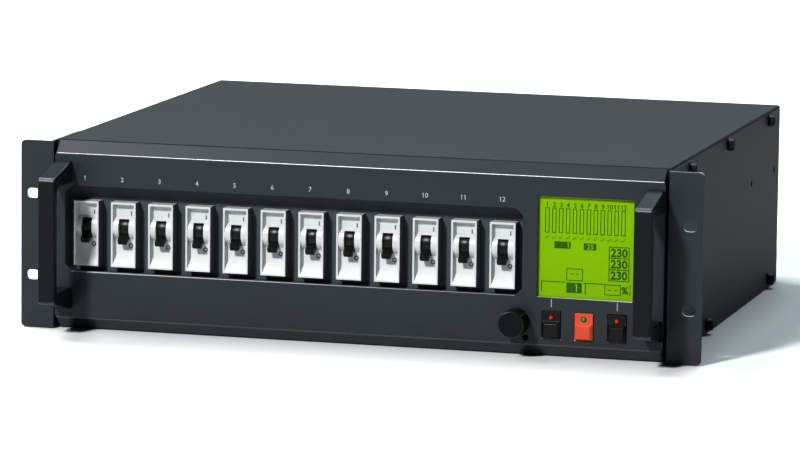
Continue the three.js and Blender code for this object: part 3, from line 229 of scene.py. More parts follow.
# One finish for each of the record's material slots.
FINISHES = {
    "cover_paint": powder_coat("powder_coat_casing_grey", "#292D30", "#2E3235", 0.54, 0.66, gloss=0.2),
    "fascia_paint": powder_coat("powder_coat_front_grey", "#25292D", "#292E32", 0.31, 0.38),
    "handle_paint": powder_coat("powder_coat_handle_black", "#0D1215", "#11171B", 0.4, 0.5, gloss=0.18),
    "pan_paint": powder_coat("powder_coat_recess_grey", "#43484C", "#484D51", 0.5, 0.62, gloss=0.04),
    "breaker_moulding": moulded("urea_moulding_light_grey", "#A6A8A8", "#ADAFAF", 0.32, 0.44),
    "black_moulding": moulded("polyamide_black", "#0A0B0C", "#0E0F10", 0.3, 0.4, sheen_level=0.25),
    "orange_moulding": moulded("abs_signal_orange", "#AB4830", "#B34D34", 0.35, 0.5, sheen_level=0.2),
    "knob_moulding": moulded("soft_touch_abs_charcoal", "#0C0E10", "#101214", 0.45, 0.58, sheen_level=0.12),
    "red_lamp": lamp_lens("tinted_epoxy_red", "#8A0E08", "#C4201A", 0.14),
    "green_lamp": lamp_lens("tinted_epoxy_green", "#154C0E", "#3C9A28", 0.12),
    "display_panel": backlit_panel(),
    "display_window": clear_acrylic(),
    "circuit_board": solder_mask(),
    "zinc_steel": plated("zinc_plated_steel", "#8D9292", "#A0A5A5", 0.32, 0.5),
    "bare_aluminium": plated("extruded_aluminium", "#B0B3B4", "#C2C5C6", 0.3, 0.45, along=(1, 14, 1)),
    "choke_winding": wound_wire(),
    "grey_moulding": moulded("polyamide_grey", "#5E6162", "#696C6D", 0.4, 0.55),
    "fan_moulding": moulded("glass_filled_pbt_black", "#131416", "#191A1C", 0.4, 0.55),
    "gland_moulding": moulded("polyamide_gland_black", "#17181A", "#1D1F21", 0.38, 0.52),
    "socket_metal": plated("nickel_plated_die_casting", "#9A9B9A", "#AFB0AE", 0.25, 0.38),
}


# Prints, worn places and small parts

WHITE_INK = moulded("screen_ink_pale_grey", "#8E9294", "#979B9D", 0.5, 0.6, grain_mm=0.4)
DARK_INK = moulded("tampo_ink_dark_grey", "#141516", "#1A1B1C", 0.5, 0.6, grain_mm=0.4)
CRYSTAL_DARK = moulded("liquid_crystal_dark", "#24520C", "#295A0E", 0.45, 0.55, grain_mm=0.4, sheen_level=0.1)
SCREW_BLACK = moulded("black_zinc_screw", "#121416", "#181B1D", 0.46, 0.58, grain_mm=0.4, sheen_level=0.25)
CONTACT_METAL = plated("polished_brass_contact", "#B9A878", "#CDBE90", 0.2, 0.34)
# A milled edge is dull and scatters light like a pale coat, so it shows as an even light line.
# It goes only on cut faces that look up, where the light falls: partly bare metal, partly painted highlight.
BARE_EDGE_AND_HIGHLIGHT = moulded("milled_aluminium_edge_and_painted_highlight", "#9EA1A3", "#ACAFB1", 0.5, 0.62, grain_mm=0.6)
# The breakers' right sides get a far darker grey than their fronts: painted shade, as these sides stand in
# shadow between the units.
BREAKER_SHADED_SIDE = moulded("urea_moulding_painted_shade_grey", "#53575A", "#595D60", 0.5, 0.6, sheen_level=0.15)
# A lighter, glossier coat for the front's bend strips: a painted highlight along the bends.
BEND_HIGHLIGHT_COAT = powder_coat("powder_coat_bend_painted_highlight", "#3A3F43", "#42474B", 0.24, 0.32, gloss=0.55)
HANDLE_WORN = powder_coat("powder_coat_handle_worn", "#0F1113", "#15171A", 0.46, 0.56, gloss=0.8)
# A lighter, glossier finish for the knob's front rim: a painted highlight.
RIM_HIGHLIGHT = moulded("soft_touch_abs_rim_painted_highlight", "#14171A", "#1A1D20", 0.32, 0.4, sheen_level=0.6)
POINTER_GREY = moulded("abs_pointer_line_grey", "#2A2E31", "#303437", 0.45, 0.55)
SEAL_RUBBER = moulded("nitrile_rubber_seal", "#0B0B0C", "#111112", 0.6, 0.75, grain_mm=0.6)


# Every CAD node gets its own finish

SLOT_OF = {part["node"]: part["material_slot"] for part in frame["record"]["subparts"]}
BODY_OF = {
    node: body for body, nodes in frame["record"]["behaviour"]["bodies"].items() for node in nodes
}

for node, obj in frame["nodes"].items():
    obj.data.materials.clear()
    obj.data.materials.append(FINISHES[SLOT_OF[node]])


# Modelling


def middle(node):
    """The middle of a node's box."""
    low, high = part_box(node)
    return (low + high) / 2


def select_only(*objects):
    """Selects these objects and nothing else, in object mode, with the first one active."""
    if bpy.context.object and bpy.context.object.mode != "OBJECT":
        bpy.ops.object.mode_set(mode="OBJECT")
    bpy.ops.object.select_all(action="DESELECT")
    for obj in objects:
        obj.select_set(True)
    bpy.context.view_layer.objects.active = objects[0]


def clear_selection(mesh):
    """Nothing on the mesh stays selected."""
    for items in (mesh.vertices, mesh.edges, mesh.polygons):
        for item in items:
            item.select = False


def pick(obj, edges=None, faces=None):
    """Selects by a test on an edge's two ends or on a face, and leaves the object in edit mode."""
    select_only(obj)
    mesh = obj.data
    clear_selection(mesh)
    if edges:
        for e in mesh.edges:
            e.select = bool(edges(*[mesh.vertices[i].co for i in e.vertices]))
    if faces:
        for f in mesh.polygons:
            f.select = bool(faces(f))
    bpy.ops.object.mode_set(mode="EDIT")
    bpy.ops.mesh.select_mode(type="EDGE" if edges else "FACE")


def leave():
    """Back to object mode."""
    bpy.ops.object.mode_set(mode="OBJECT")


def pick_corners(obj, test, sharpness=15):
    """Selects the edges that turn by more than this angle and pass a test on their two ends."""
    select_only(obj)
    bpy.ops.object.mode_set(mode="EDIT")
    bpy.ops.mesh.select_mode(type="EDGE")
    bpy.ops.mesh.select_all(action="DESELECT")
    bpy.ops.mesh.edges_select_sharp(sharpness=math.radians(sharpness))
    leave()
    mesh = obj.data
    corners = {edge.index for edge in mesh.edges if edge.select}
    clear_selection(mesh)
    for edge in mesh.edges:
        ends = [mesh.vertices[i].co for i in edge.vertices]
        edge.select = edge.index in corners and bool(test(*ends))
    bpy.ops.object.mode_set(mode="EDIT")
    bpy.ops.mesh.select_mode(type="EDGE")


def bevel_picked(width_mm, segments):
    """Rounds the selected edges and leaves edit mode."""
    bpy.ops.mesh.bevel(offset=width_mm * MM, segments=segments, affect="EDGES", clamp_overlap=True)
    leave()


def modify(obj, kind, **settings):
    """Adds a modifier, sets it and applies it."""
    select_only(obj)
    modifier = obj.modifiers.new(kind.lower(), kind)
    for name, value in settings.items():
        setattr(modifier, name, value)
    bpy.ops.object.modifier_apply(modifier=modifier.name)


def smooth(obj, angle=40):
    """Smooth shading up to this angle, with the wide faces kept flat to the eye."""
    select_only(obj)
    bpy.ops.object.shade_smooth_by_angle(angle=math.radians(angle))
    modify(obj, "WEIGHTED_NORMAL", mode="FACE_AREA", weight=100, keep_sharp=True)


def own_copy(node, name):
    """A copy of a CAD node's mesh, merged and cleaned to whole faces."""
    obj = bpy.data.objects.new(name, frame["nodes"][node].data.copy())
    bpy.context.scene.collection.objects.link(obj)
    select_only(obj)
    bpy.ops.object.mode_set(mode="EDIT")
    bpy.ops.mesh.select_all(action="SELECT")
    bpy.ops.mesh.remove_doubles(threshold=0.01 * MM)
    bpy.ops.mesh.dissolve_limited(angle_limit=math.radians(0.5))
    bpy.ops.mesh.customdata_custom_splitnormals_clear()
    leave()
    return obj


def stand_for(obj, node):
    """obj replaces this CAD node, on its body and with its finish."""
    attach(obj, BODY_OF[node])
    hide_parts(node)
    return obj


def rounded(obj, width_mm, segments=2, angle=40):
    """Rounds the edges sharper than this angle."""
    modify(
        obj, "BEVEL", width=width_mm * MM, segments=segments, limit_method="ANGLE",
        angle_limit=math.radians(angle), use_clamp_overlap=True, harden_normals=False,
    )
    smooth(obj)
    return obj


def softened(node, width_mm):
    """The CAD node with its sharp edges rounded."""
    return stand_for(rounded(own_copy(node, node + "_finished"), width_mm), node)


def refinish(obj, test, finish=BARE_EDGE_AND_HIGHLIGHT):
    """Gives the faces that pass the test a finish of their own."""
    obj.data.materials.append(finish)
    for face in obj.data.polygons:
        if test(face):
            face.material_index = len(obj.data.materials) - 1


def repeated(obj, name, shift):
    """A copy with its own mesh, moved by shift."""
    select_only(obj)
    bpy.ops.object.duplicate(linked=False)
    copy = bpy.context.object
    copy.name = name
    copy.location = shift
    settled(copy)
    return copy


def settled(obj):
    """Writes the object's place, turn and size into its mesh."""
    select_only(obj)
    bpy.ops.object.transform_apply(location=True, rotation=True, scale=True)


def dressed(obj, finish, body="casing"):
    """Gives a new piece its finish and body."""
    obj.data.materials.clear()
    obj.data.materials.append(finish)
    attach(obj, body)
    return obj


def joined(objects, name):
    """One named piece from several."""
    select_only(*objects)
    if len(objects) > 1:
        bpy.ops.object.join()
    whole = bpy.context.object
    whole.name = name
    return whole


def placed_text(words, size, extrude, thicken):
    """Text made a mesh, facing the front, with its lower left corner at the origin."""
    bpy.ops.object.select_all(action="DESELECT")
    bpy.ops.object.text_add()
    text = bpy.context.object
    text.data.body = words
    text.data.resolution_u = 3
    text.data.extrude = 0.5
    text.data.offset = thicken
    bpy.ops.object.convert(target="MESH")
    made = bpy.context.object
    made.scale = (size, size, 2 * extrude)
    made.rotation_euler = (math.radians(90), 0, 0)
    settled(made)
    return made


def move_to(obj, at):
    """Centres the piece's box on a place."""
    corners = [Vector(c) for c in obj.bound_box]
    centre = (Vector(map(min, zip(*corners))) + Vector(map(max, zip(*corners)))) / 2
    obj.location = Vector(at) - centre
    settled(obj)
    return obj


# A figure's height as a share of the text's size, and the figures' pitch as a share of their height.
CAP_SHARE, FIGURE_PITCH = 0.7, 0.72
# The one's flag: its length and width as shares of the figure's height, its slant in degrees,
# and how far its middle lies left of the stroke and below the top, as shares of its length.
ONE_FLAG, FLAG_SLANT, FLAG_SHIFT = (0.3, 0.13), 38, (0.42, 0.36)


def numeral(character, height, at, extrude, thicken):
    """One printed figure. The plain stroke of the one gets a slanting flag at its top."""
    made = placed_text(character, height / CAP_SHARE, extrude, thicken)
    move_to(made, at)
    if character != "1":
        return made
    length, width = (share * height for share in ONE_FLAG)
    bpy.ops.object.select_all(action="DESELECT")
    bpy.ops.mesh.primitive_cube_add(size=1)
    flag = bpy.context.object
    flag.scale = (length, 2 * extrude, width)
    flag.rotation_euler = (0, math.radians(-FLAG_SLANT), 0)
    top = max(v.co.z for v in made.data.vertices)
    left, below = (share * length for share in FLAG_SHIFT)
    flag.location = (at[0] - left, at[1], top - below)
    settled(flag)
    return joined([made, flag], "numeral")


def lettering(words, height_mm, at, extrude_mm=0.04, thicken=0.012):
    """Plain figures that face the front, centred on this place, as a thin solid."""
    height = height_mm * MM
    start = -(len(words) - 1) / 2
    figures = []
    for index, character in enumerate(words):
        place = Vector(at) + Vector(((start + index) * FIGURE_PITCH * height, 0, 0))
        figures.append(numeral(character, height, place, extrude_mm * MM, thicken))
    return joined(figures, "lettering")


# Camera, light and floor

# Fitted to the edges of the ears, the front and the cover in the photo: place, angles in radians, lens in mm.
CAMERA_PLACE = (931.94 * MM, -3423.87 * MM, 580.67 * MM)
CAMERA_YAW, CAMERA_PITCH, CAMERA_ROLL = 0.270945, 0.146283, 0.011933
CAMERA_LENS = 225.53
WORLD_LIGHT, VIEW_GAMMA = 0.02, 0.8
FLOOR_SIZE, FLOOR_DROP = 60, 0.4 * MM


def make_camera():
    """A long lens at the photo's angle, from the front right and a little above."""
    data = bpy.data.cameras.new("camera")
    data.lens = CAMERA_LENS
    data.sensor_width = 36
    data.clip_end = 100
    camera = bpy.data.objects.new("camera", data)
    bpy.context.scene.collection.objects.link(camera)
    ahead = Vector((
        -math.sin(CAMERA_YAW) * math.cos(CAMERA_PITCH),
        math.cos(CAMERA_YAW) * math.cos(CAMERA_PITCH),
        -math.sin(CAMERA_PITCH),
    ))
    level = Vector((math.cos(CAMERA_YAW), math.sin(CAMERA_YAW), 0))
    above = level.cross(ahead)
    across = level * math.cos(CAMERA_ROLL) + above * math.sin(CAMERA_ROLL)
    up = above * math.cos(CAMERA_ROLL) - level * math.sin(CAMERA_ROLL)
    turn = Matrix((across, up, -ahead)).transposed().to_4x4()
    camera.matrix_world = Matrix.Translation(CAMERA_PLACE) @ turn
    bpy.context.scene.camera = camera


def softbox(name, towards, distance, width, height, power, aim=(0, 0, 0.06)):
    """An area light in this direction from the object, turned to face it."""
    data = bpy.data.lights.new(name, "AREA")
    data.shape = "RECTANGLE"
    data.size = width
    data.size_y = height
    data.energy = power
    light = bpy.data.objects.new(name, data)
    bpy.context.scene.collection.objects.link(light)
    place = Vector(aim) + Vector(towards).normalized() * distance
    light.location = place
    light.rotation_euler = (Vector(aim) - place).to_track_quat("-Z", "Y").to_euler()
    return light


def make_studio():
    """Soft key from the front left and above, wide fills from the other sides, and a pale floor."""
    softbox("key", (-0.361, -1, 0.81), 9, 1.0, 1.0, 1320)
    softbox("upper_left", (-0.8, 0.3, 1), 5, 3, 3, 370)
    softbox("rear_fill", (0.1, 0.8, 1.3), 6, 3, 3, 330).data.color = (0.86, 0.97, 1)
    softbox("right_fill", (1, 0.1, 0.14), 5, 2.5, 1.2, 14)
    world = bpy.data.worlds.new("studio")
    bpy.context.scene.world = world
    world.use_nodes = True
    tree = world.node_tree
    tree.nodes["Background"].inputs["Color"].default_value = linear("#F4F6F8")
    tree.nodes["Background"].inputs["Strength"].default_value = WORLD_LIGHT
    bpy.ops.mesh.primitive_plane_add(size=FLOOR_SIZE, location=(0, 0, -FLOOR_DROP))
    floor = bpy.context.object
    floor.name = "floor"
    paper, tree, shader, place = material("pale_studio_paper")
    colour, _ = clouded(tree, place, "#C4C5C6", "#CACBCC", 700)
    tree.links.new(colour, shader.inputs["Base Color"])
    settle(shader, roughness=0.9)
    floor.data.materials.append(paper)
    bpy.context.scene.view_settings.view_transform = "Standard"
    bpy.context.scene.view_settings.gamma = VIEW_GAMMA


make_camera()
make_studio()


# Casing

# The radius of each node's rounded edges, in mm.
SOFT_EDGES = {
    "recess_tray": 0.3,
    "rear_panel": 0.25,
    "handle_left": 0.4,
    "handle_right": 0.4,
    "button_left": 0.25,
    "button_centre": 0.25,
    "button_right": 0.25,
    "encoder_knob": 0.7,
    "fan_frame_1": 0.3,
    "fan_frame_2": 0.3,
    "output_socket_2": 0.3,
    "mains_gland": 0.4,
    "control_in_socket": 0.25,
    "control_out_socket": 0.25,
}
finished = {node: softened(node, width) for node, width in SOFT_EDGES.items()}


def second_output_socket():
    """Output socket 1 is a copy of socket 2, whose pierced face is cut into even triangles first."""
    pattern = finished["output_socket_2"]
    modify(
        pattern, "TRIANGULATE", quad_method="BEAUTY", ngon_method="BEAUTY", min_vertices=5,
        keep_custom_normals=True,
    )
    rise = middle("output_socket_1") - middle("output_socket_2")
    copy = repeated(pattern, "output_socket_1_finished", rise)
    finished["output_socket_1"] = stand_for(copy, "output_socket_1")


second_output_socket()

FASCIA_LOW, FASCIA_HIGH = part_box("front_fascia")
FASCIA_FRONT = FASCIA_LOW.y
# How far the front's long bends lie from its top and bottom.
BEND_DROP = 7.8 * MM
# Radii of the panel's and the cover's long bends, in mm.
BEND_RADIUS, COVER_BEND = 0.65, 1.9
BEND_STEPS, SILL_STEPS = 6, 3
# The heights between which the sills of the keys and of the two windows lie, and their edge widths in mm.
KEY_SILLS, WIDE_SILLS = (12 * MM, 20 * MM), (36 * MM, 50 * MM)
KEY_SILL_EDGE, WIDE_SILL_EDGE = 1.8, 0.5
SHEET_EDGE, EAR_EDGE = 0.3, 0.2
# A bend's strips are smaller than this, and the flat faces beside it are larger.
WIDEST_BEND_STRIP = 800 * MM**2


def cover():
    """The folded cover: its two bends along the top are rounded wider than its cut edges."""
    low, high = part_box("top_cover")
    sheet = own_copy("top_cover", "top_cover_finished")
    near = 0.1 * MM

    def on_bend(a, b):
        at_edge = min(abs(a.x), abs(b.x)) > high.x - near and min(a.z, b.z) > high.z - near
        return at_edge and abs(a.y - b.y) > 1 * MM

    pick_corners(sheet, on_bend)
    bevel_picked(COVER_BEND, BEND_STEPS)
    stand_for(rounded(sheet, SHEET_EDGE), "top_cover")


cover()


def front_panel():
    """The folded front: its two long bends are rounded wider than its cut edges."""
    panel = own_copy("front_fascia", "front_fascia_finished")
    near = 0.3 * MM
    bends = (FASCIA_HIGH.z - BEND_DROP, FASCIA_LOW.z + BEND_DROP)

    def on_bend(a, b):
        along = abs(a.x - b.x) > 1 * MM and abs(a.z - b.z) < near
        return along and a.y < FASCIA_FRONT + near and min(abs(a.z - z) for z in bends) < near

    pick_corners(panel, on_bend)
    bevel_picked(BEND_RADIUS, BEND_STEPS)
    for (bottom, top), width in ((KEY_SILLS, KEY_SILL_EDGE), (WIDE_SILLS, WIDE_SILL_EDGE)):

        def sill(a, b):
            level = abs(a.z - b.z) < near and abs(a.x - b.x) > 3 * MM
            return level and max(a.y, b.y) < FASCIA_FRONT + near and bottom < a.z < top

        pick_corners(panel, sill)
        bevel_picked(width, SILL_STEPS)
    stand_for(rounded(panel, SHEET_EDGE), "front_fascia")
    low, high = sorted(bends)

    # Only the cut faces that look up, where the light falls, get the pale edge finish: partly bare metal,
    # partly painted highlight.
    def pale_cut_face(face):
        between = low + 2 * MM < face.center.z < high - 2 * MM
        return between and face.normal.z > 0.2 and abs(face.normal.x) < 0.3

    refinish(panel, pale_cut_face)

    # The bend strips get the lighter coat: a painted highlight along each bend.
    def bend_face(face):
        near_bend = min(abs(face.center.z - z) for z in bends) < 1.2 * BEND_RADIUS * MM
        turned = 0.03 < abs(face.normal.z) < 0.9 and face.normal.y < 0
        return near_bend and turned and face.area < WIDEST_BEND_STRIP

    refinish(panel, bend_face, BEND_HIGHLIGHT_COAT)


front_panel()


def worn_handles():
    """The bows' front bends are rubbed smooth by hands."""
    for node in ("handle_left", "handle_right"):
        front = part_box(node)[0].y

        def on_bend(face):
            turned = 0.25 < abs(face.normal.z) < 0.97 and face.normal.y < -0.1
            return turned and face.center.y < front + 5 * MM

        refinish(finished[node], on_bend, HANDLE_WORN)


worn_handles()


def ears():
    """Rack ears: cut after painting. Only the plate's top and bottom edges and the slots' lower edges get the
    pale edge finish; slot edges that face down or aside stay painted, so the pale tone is partly bare metal,
    partly painted highlight.
    """
    for node in ("rack_ear_left", "rack_ear_right"):
        ear = softened(node, EAR_EDGE)
        low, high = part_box(node)
        inner, outer = sorted((abs(low.x), abs(high.x)))

        # The pale edge finish goes on the plate's level edges and the slots' upward edges only: partly bare
        # metal, partly painted highlight.
        def pale_cut_face(face):
            on_plate = face.center.y < low.y + 3 * MM and abs(face.center.x) > inner + 4 * MM
            level = abs(face.normal.z) > 0.93
            in_slot = abs(face.center.x) < outer - 0.5 * MM and face.normal.z > 0.3
            return on_plate and (level or in_slot)

        def outward(face):
            return face.normal.x * low.x > 0.6 * abs(low.x)

        refinish(ear, outward, FINISHES["cover_paint"])
        refinish(ear, pale_cut_face)


ears()


# Circuit breakers

BREAKER_LOW, BREAKER_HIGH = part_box("breaker_01")
BREAKER_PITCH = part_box("breaker_02")[0].x - BREAKER_LOW.x
BREAKER_MIDDLE = (BREAKER_LOW.x + BREAKER_HIGH.x) / 2
# The foot of a breaker's nose above the floor, and how deep the dish round its lever is sunk.
NOSE_BOTTOM, DISH_DEPTH = 45.0 * MM, 4.0 * MM
BREAKER_EDGE, BREAKER_STEPS = 0.3, 3
# A lever's edges are rounded, and shaded sharp, where its faces turn by more than this many degrees.
LEVER_EDGE, LEVER_STEPS, LEVER_SHARPNESS = 0.12, 2, 34
# The printed channel numbers' height in mm, and their place above the floor.
NUMBER_HEIGHT, NUMBER_RISE = 3.2, 106.5 * MM
INK_DEPTH = 0.04
# Each printed mark, its height, place right of the middle and above the nose's foot, and thickening.
SWITCH_MARKS = (("I", 2.8, 4.7, 37.4, 0.04), ("O", 3.0, 4.4, 15.0, 0.035))


def channel_shift(channel):
    """How far this channel lies from the first."""
    return Vector((BREAKER_PITCH * channel, 0, 0))


def breakers():
    """One breaker, lever and pair of marks, copied to the twelve channels with their printed numbers."""
    body = rounded(own_copy("breaker_01", "breaker_pattern"), BREAKER_EDGE, BREAKER_STEPS)

    def right_side(face):
        return face.normal.x > 0.7 and face.center.x > BREAKER_HIGH.x - 0.1 * MM

    # Painted shade: the right sides, away from the light, get the darker grey.
    refinish(body, right_side, BREAKER_SHADED_SIDE)
    lever = own_copy("breaker_lever_01", "lever_pattern")
    rounded(lever, LEVER_EDGE, LEVER_STEPS, LEVER_SHARPNESS)
    select_only(lever)
    bpy.ops.mesh.customdata_custom_splitnormals_clear()
    bpy.ops.object.shade_smooth_by_angle(angle=math.radians(LEVER_SHARPNESS))
    floor = BREAKER_LOW.y + DISH_DEPTH
    printed = []
    for mark, height, across, up, thicken in SWITCH_MARKS:
        at = (BREAKER_MIDDLE + across * MM, floor, NOSE_BOTTOM + up * MM)
        printed.append(lettering(mark, height, at, INK_DEPTH, thicken))
    marks = joined(printed, "marks_pattern")
    for channel in range(CHANNELS):
        number = f"{channel + 1:02d}"
        shift = channel_shift(channel)
        stand_for(repeated(body, f"breaker_{number}_finished", shift), "breaker_" + number)
        stand_for(repeated(lever, f"breaker_lever_{number}_finished", shift), "breaker_lever_" + number)
        dressed(repeated(marks, f"breaker_marks_{number}", shift), DARK_INK)
        at = Vector((BREAKER_MIDDLE, FASCIA_FRONT, NUMBER_RISE)) + shift
        figure = lettering(str(channel + 1), NUMBER_HEIGHT, at)
        figure.name = f"channel_number_{number}"
        dressed(figure, WHITE_INK)
    for pattern in (body, lever, marks):
        bpy.data.objects.remove(pattern)


breakers()


# Display figures

LENS_LOW, LENS_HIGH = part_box("display_lens")
DISPLAY_LEFT = LENS_LOW.x - 0.2 * MM
DISPLAY_TOP = LENS_HIGH.z + 0.2 * MM
CRYSTAL_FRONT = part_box("display_module")[0].y - 0.07 * MM
# The fields' thickness, half of the figures' thickness, and how far the light figures lie before the fields.
FIELD_DEPTH, PRINT_DEPTH, LIGHT_LIFT = 0.04, 0.02, 0.05
OUTLINE_WIDTH = 0.55
# Fields, frames and ticks are flat and have fewer faces than this; the figures are solid already.
FEWEST_FIGURE_FACES = 9
# The first channel's column and the next ones' pitch, and the places of its number, bar and tick, in mm
# from the display's left and top edge.
FIRST_COLUMN, COLUMN_PITCH = 6.0, 4.78
COLUMN_NUMBER, BAR_TOP, BAR_BOTTOM, BAR_HALF_WIDTH, COLUMN_TICK = 5.8, 8.0, 25.1, 1.5, 28.3
# The start and end of the tick's two strokes round its place, and their width.
TICK_STROKES, TICK_LINE = (((-1.3, -0.1), (-0.5, 0.8)), ((-0.7, 0.8), (1.4, -1.1))), 0.4


def on_display(across, down, forward=0):
    """A place on the crystal, in mm from the display's left and top edge."""
    return Vector((DISPLAY_LEFT + across * MM, CRYSTAL_FRONT - forward * MM, DISPLAY_TOP - down * MM))


def segment(left, top, right, bottom):
    """A flat dark field of the crystal."""
    centre = on_display((left + right) / 2, (top + bottom) / 2)
    bpy.ops.object.select_all(action="DESELECT")
    bpy.ops.mesh.primitive_plane_add(size=1, location=centre, rotation=(math.radians(90), 0, 0))
    field = bpy.context.object
    field.scale = ((right - left) * MM, (bottom - top) * MM, 1)
    settled(field)
    return field


def outlined(left, top, right, bottom):
    """A field with only its outline dark."""
    field = segment(left, top, right, bottom)
    bpy.ops.object.mode_set(mode="EDIT")
    bpy.ops.mesh.select_all(action="SELECT")
    bpy.ops.mesh.inset(thickness=OUTLINE_WIDTH * MM, use_even_offset=True)
    bpy.ops.mesh.delete(type="FACE")
    leave()
    return field


def check_mark(across, down):
    """The small tick under a channel's bar."""
    strokes = []
    for start, end in TICK_STROKES:
        centre = on_display(across + (start[0] + end[0]) / 2, down + (start[1] + end[1]) / 2)
        length = math.hypot(end[0] - start[0], end[1] - start[1])
        bpy.ops.object.select_all(action="DESELECT")
        bpy.ops.mesh.primitive_plane_add(size=1, location=centre, rotation=(math.radians(90), 0, 0))
        stroke = bpy.context.object
        stroke.scale = (length * MM, TICK_LINE * MM, 1)
        stroke.rotation_euler.y = math.atan2(end[1] - start[1], end[0] - start[0])
        settled(stroke)
        strokes.append(stroke)
    return strokes


def display_figures():
    """The channels' numbers, bars and ticks, the dark fields and frames, and the figures in them.
    A field or frame is given by its left, top, right and bottom edge."""
    dark = []
    for channel in range(CHANNELS):
        across = FIRST_COLUMN + COLUMN_PITCH * channel
        dark.append(lettering(str(channel + 1), 3.1, on_display(across, COLUMN_NUMBER), PRINT_DEPTH, 0.015))
        dark.append(outlined(across - BAR_HALF_WIDTH, BAR_TOP, across + BAR_HALF_WIDTH, BAR_BOTTOM))
        dark += check_mark(across, COLUMN_TICK)
    dark += [
        segment(11.2, 30.7, 22.5, 35.4),
        segment(31.5, 31.1, 40.1, 35.7),
        outlined(19.8, 48.7, 31.3, 57.1),
        segment(22.6, 52.2, 24.6, 52.8),
        segment(26.4, 52.2, 28.4, 52.8),
        outlined(48.9, 32.5, 63.1, 40.6),
        outlined(48.9, 40.1, 63.1, 48.4),
        outlined(48.9, 47.9, 63.1, 56.0),
        segment(2.3, 58.0, 19.0, 58.6),
        segment(2.3, 58.0, 2.9, 65.0),
        segment(20.0, 58.4, 30.6, 65.3),
        segment(32.7, 58.5, 33.3, 66.0),
        segment(31.7, 58.0, 46.3, 58.6),
        outlined(46.3, 58.3, 57.5, 65.7),
        segment(48.8, 61.8, 50.8, 62.4),
        segment(52.8, 61.8, 54.8, 62.4),
        segment(63.6, 58.3, 64.1, 61.2),
        segment(63.6, 62.2, 64.1, 65.6),
        lettering("%", 4.8, on_display(60.3, 62.0), PRINT_DEPTH, 0.03),
    ]
    for down in (36.6, 44.3, 52.0):
        dark.append(lettering("230", 5.4, on_display(56.0, down), PRINT_DEPTH, 0.035))
    for piece in dark:
        if len(piece.data.polygons) < FEWEST_FIGURE_FACES:
            modify(piece, "SOLIDIFY", thickness=FIELD_DEPTH * MM, offset=0)
    dressed(joined(dark, "display_dark_figures"), CRYSTAL_DARK)
    light = [
        lettering("1", 3.4, on_display(20.8, 33.0, LIGHT_LIFT), PRINT_DEPTH),
        lettering("25", 3.4, on_display(36.0, 33.4, LIGHT_LIFT), PRINT_DEPTH),
        lettering("1", 5.2, on_display(27.0, 61.8, LIGHT_LIFT), PRINT_DEPTH),
    ]
    dressed(joined(light, "display_light_figures"), FINISHES["display_panel"])


display_figures()


# Controls

PALE_LINE_WIDTH, PALE_LINE_HEIGHT, PALE_LINE_DEPTH = 0.55, 5.6, 0.08
PALE_LINE_RISE = 37.4 * MM


def printed_tick(button, name):
    """The short pale line printed between a key and the display."""
    low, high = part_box(button)
    bpy.ops.object.select_all(action="DESELECT")
    at = ((low.x + high.x) / 2, FASCIA_FRONT, PALE_LINE_RISE)
    bpy.ops.mesh.primitive_plane_add(size=1, location=at, rotation=(math.radians(90), 0, 0))
    tick = bpy.context.object
    tick.name = name
    tick.scale = (PALE_LINE_WIDTH * MM, PALE_LINE_HEIGHT * MM, 1)
    settled(tick)
    modify(tick, "SOLIDIFY", thickness=PALE_LINE_DEPTH * MM, offset=0)
    dressed(tick, WHITE_INK)


printed_tick("button_left", "printed_tick_left")
printed_tick("button_right", "printed_tick_right")


KNOB_LINE_ANGLE, KNOB_LINE_SHARE = 43, 0.84
KNOB_LINE_DEPTH, KNOB_LINE_WIDTH, KNOB_LINE_SINK = 1.0 * MM, 0.7 * MM, 0.25 * MM
KNOB_RIM_DEPTH = 1.2 * MM


def knob_line():
    """The raised pointer line along the knob's side, at two o'clock as in the photo."""
    low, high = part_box("encoder_knob")
    radius = (high.x - low.x) / 2
    turn = math.radians(KNOB_LINE_ANGLE)
    reach = Vector((math.cos(turn), 0, math.sin(turn))) * (radius - KNOB_LINE_SINK)
    bpy.ops.object.select_all(action="DESELECT")
    bpy.ops.mesh.primitive_cube_add(size=1)
    line = bpy.context.object
    line.name = "knob_line"
    line.scale = (KNOB_LINE_DEPTH, (high.y - low.y) * KNOB_LINE_SHARE, KNOB_LINE_WIDTH)
    line.rotation_euler = (0, -turn, 0)
    line.location = (low + high) / 2 + reach
    settled(line)
    rounded(line, 0.15)
    dressed(line, POINTER_GREY, BODY_OF["encoder_knob"])


def knob_rim():
    """The front rim gets a lighter, glossier finish: a painted highlight round the knob's face."""
    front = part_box("encoder_knob")[0].y

    def on_rim(face):
        return face.center.y < front + KNOB_RIM_DEPTH and -0.95 < face.normal.y < -0.15

    refinish(finished["encoder_knob"], on_rim, RIM_HIGHLIGHT)


knob_line()
knob_rim()

LAMP_SIDES = 32
DOME_SHARE, DOME_STEPS = 0.75, 6
LAMP_HOLE_GAP, LAMP_LIP_WIDTH, LAMP_LIP_DEPTH = 0.12 * MM, 0.28 * MM, 0.3 * MM
KEY_STEP = 1.8 * MM


def lamp(node):
    """A domed epoxy lens."""
    low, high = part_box(node)
    depth = high.y - low.y
    radius = (high.x - low.x) / 2
    bpy.ops.object.select_all(action="DESELECT")
    bpy.ops.mesh.primitive_cylinder_add(
        vertices=LAMP_SIDES, radius=radius, depth=depth,
        location=(low + high) / 2, rotation=(math.radians(90), 0, 0),
    )
    lens = bpy.context.object
    lens.name = node + "_finished"
    settled(lens)
    pick(lens, edges=lambda a, b: a.y < low.y + 0.01 * MM and b.y < low.y + 0.01 * MM)
    bevel_picked(DOME_SHARE * radius / MM, DOME_STEPS)
    smooth(lens)
    lens.data.materials.clear()
    lens.data.materials.append(FINISHES[SLOT_OF[node]])
    stand_for(lens, node)


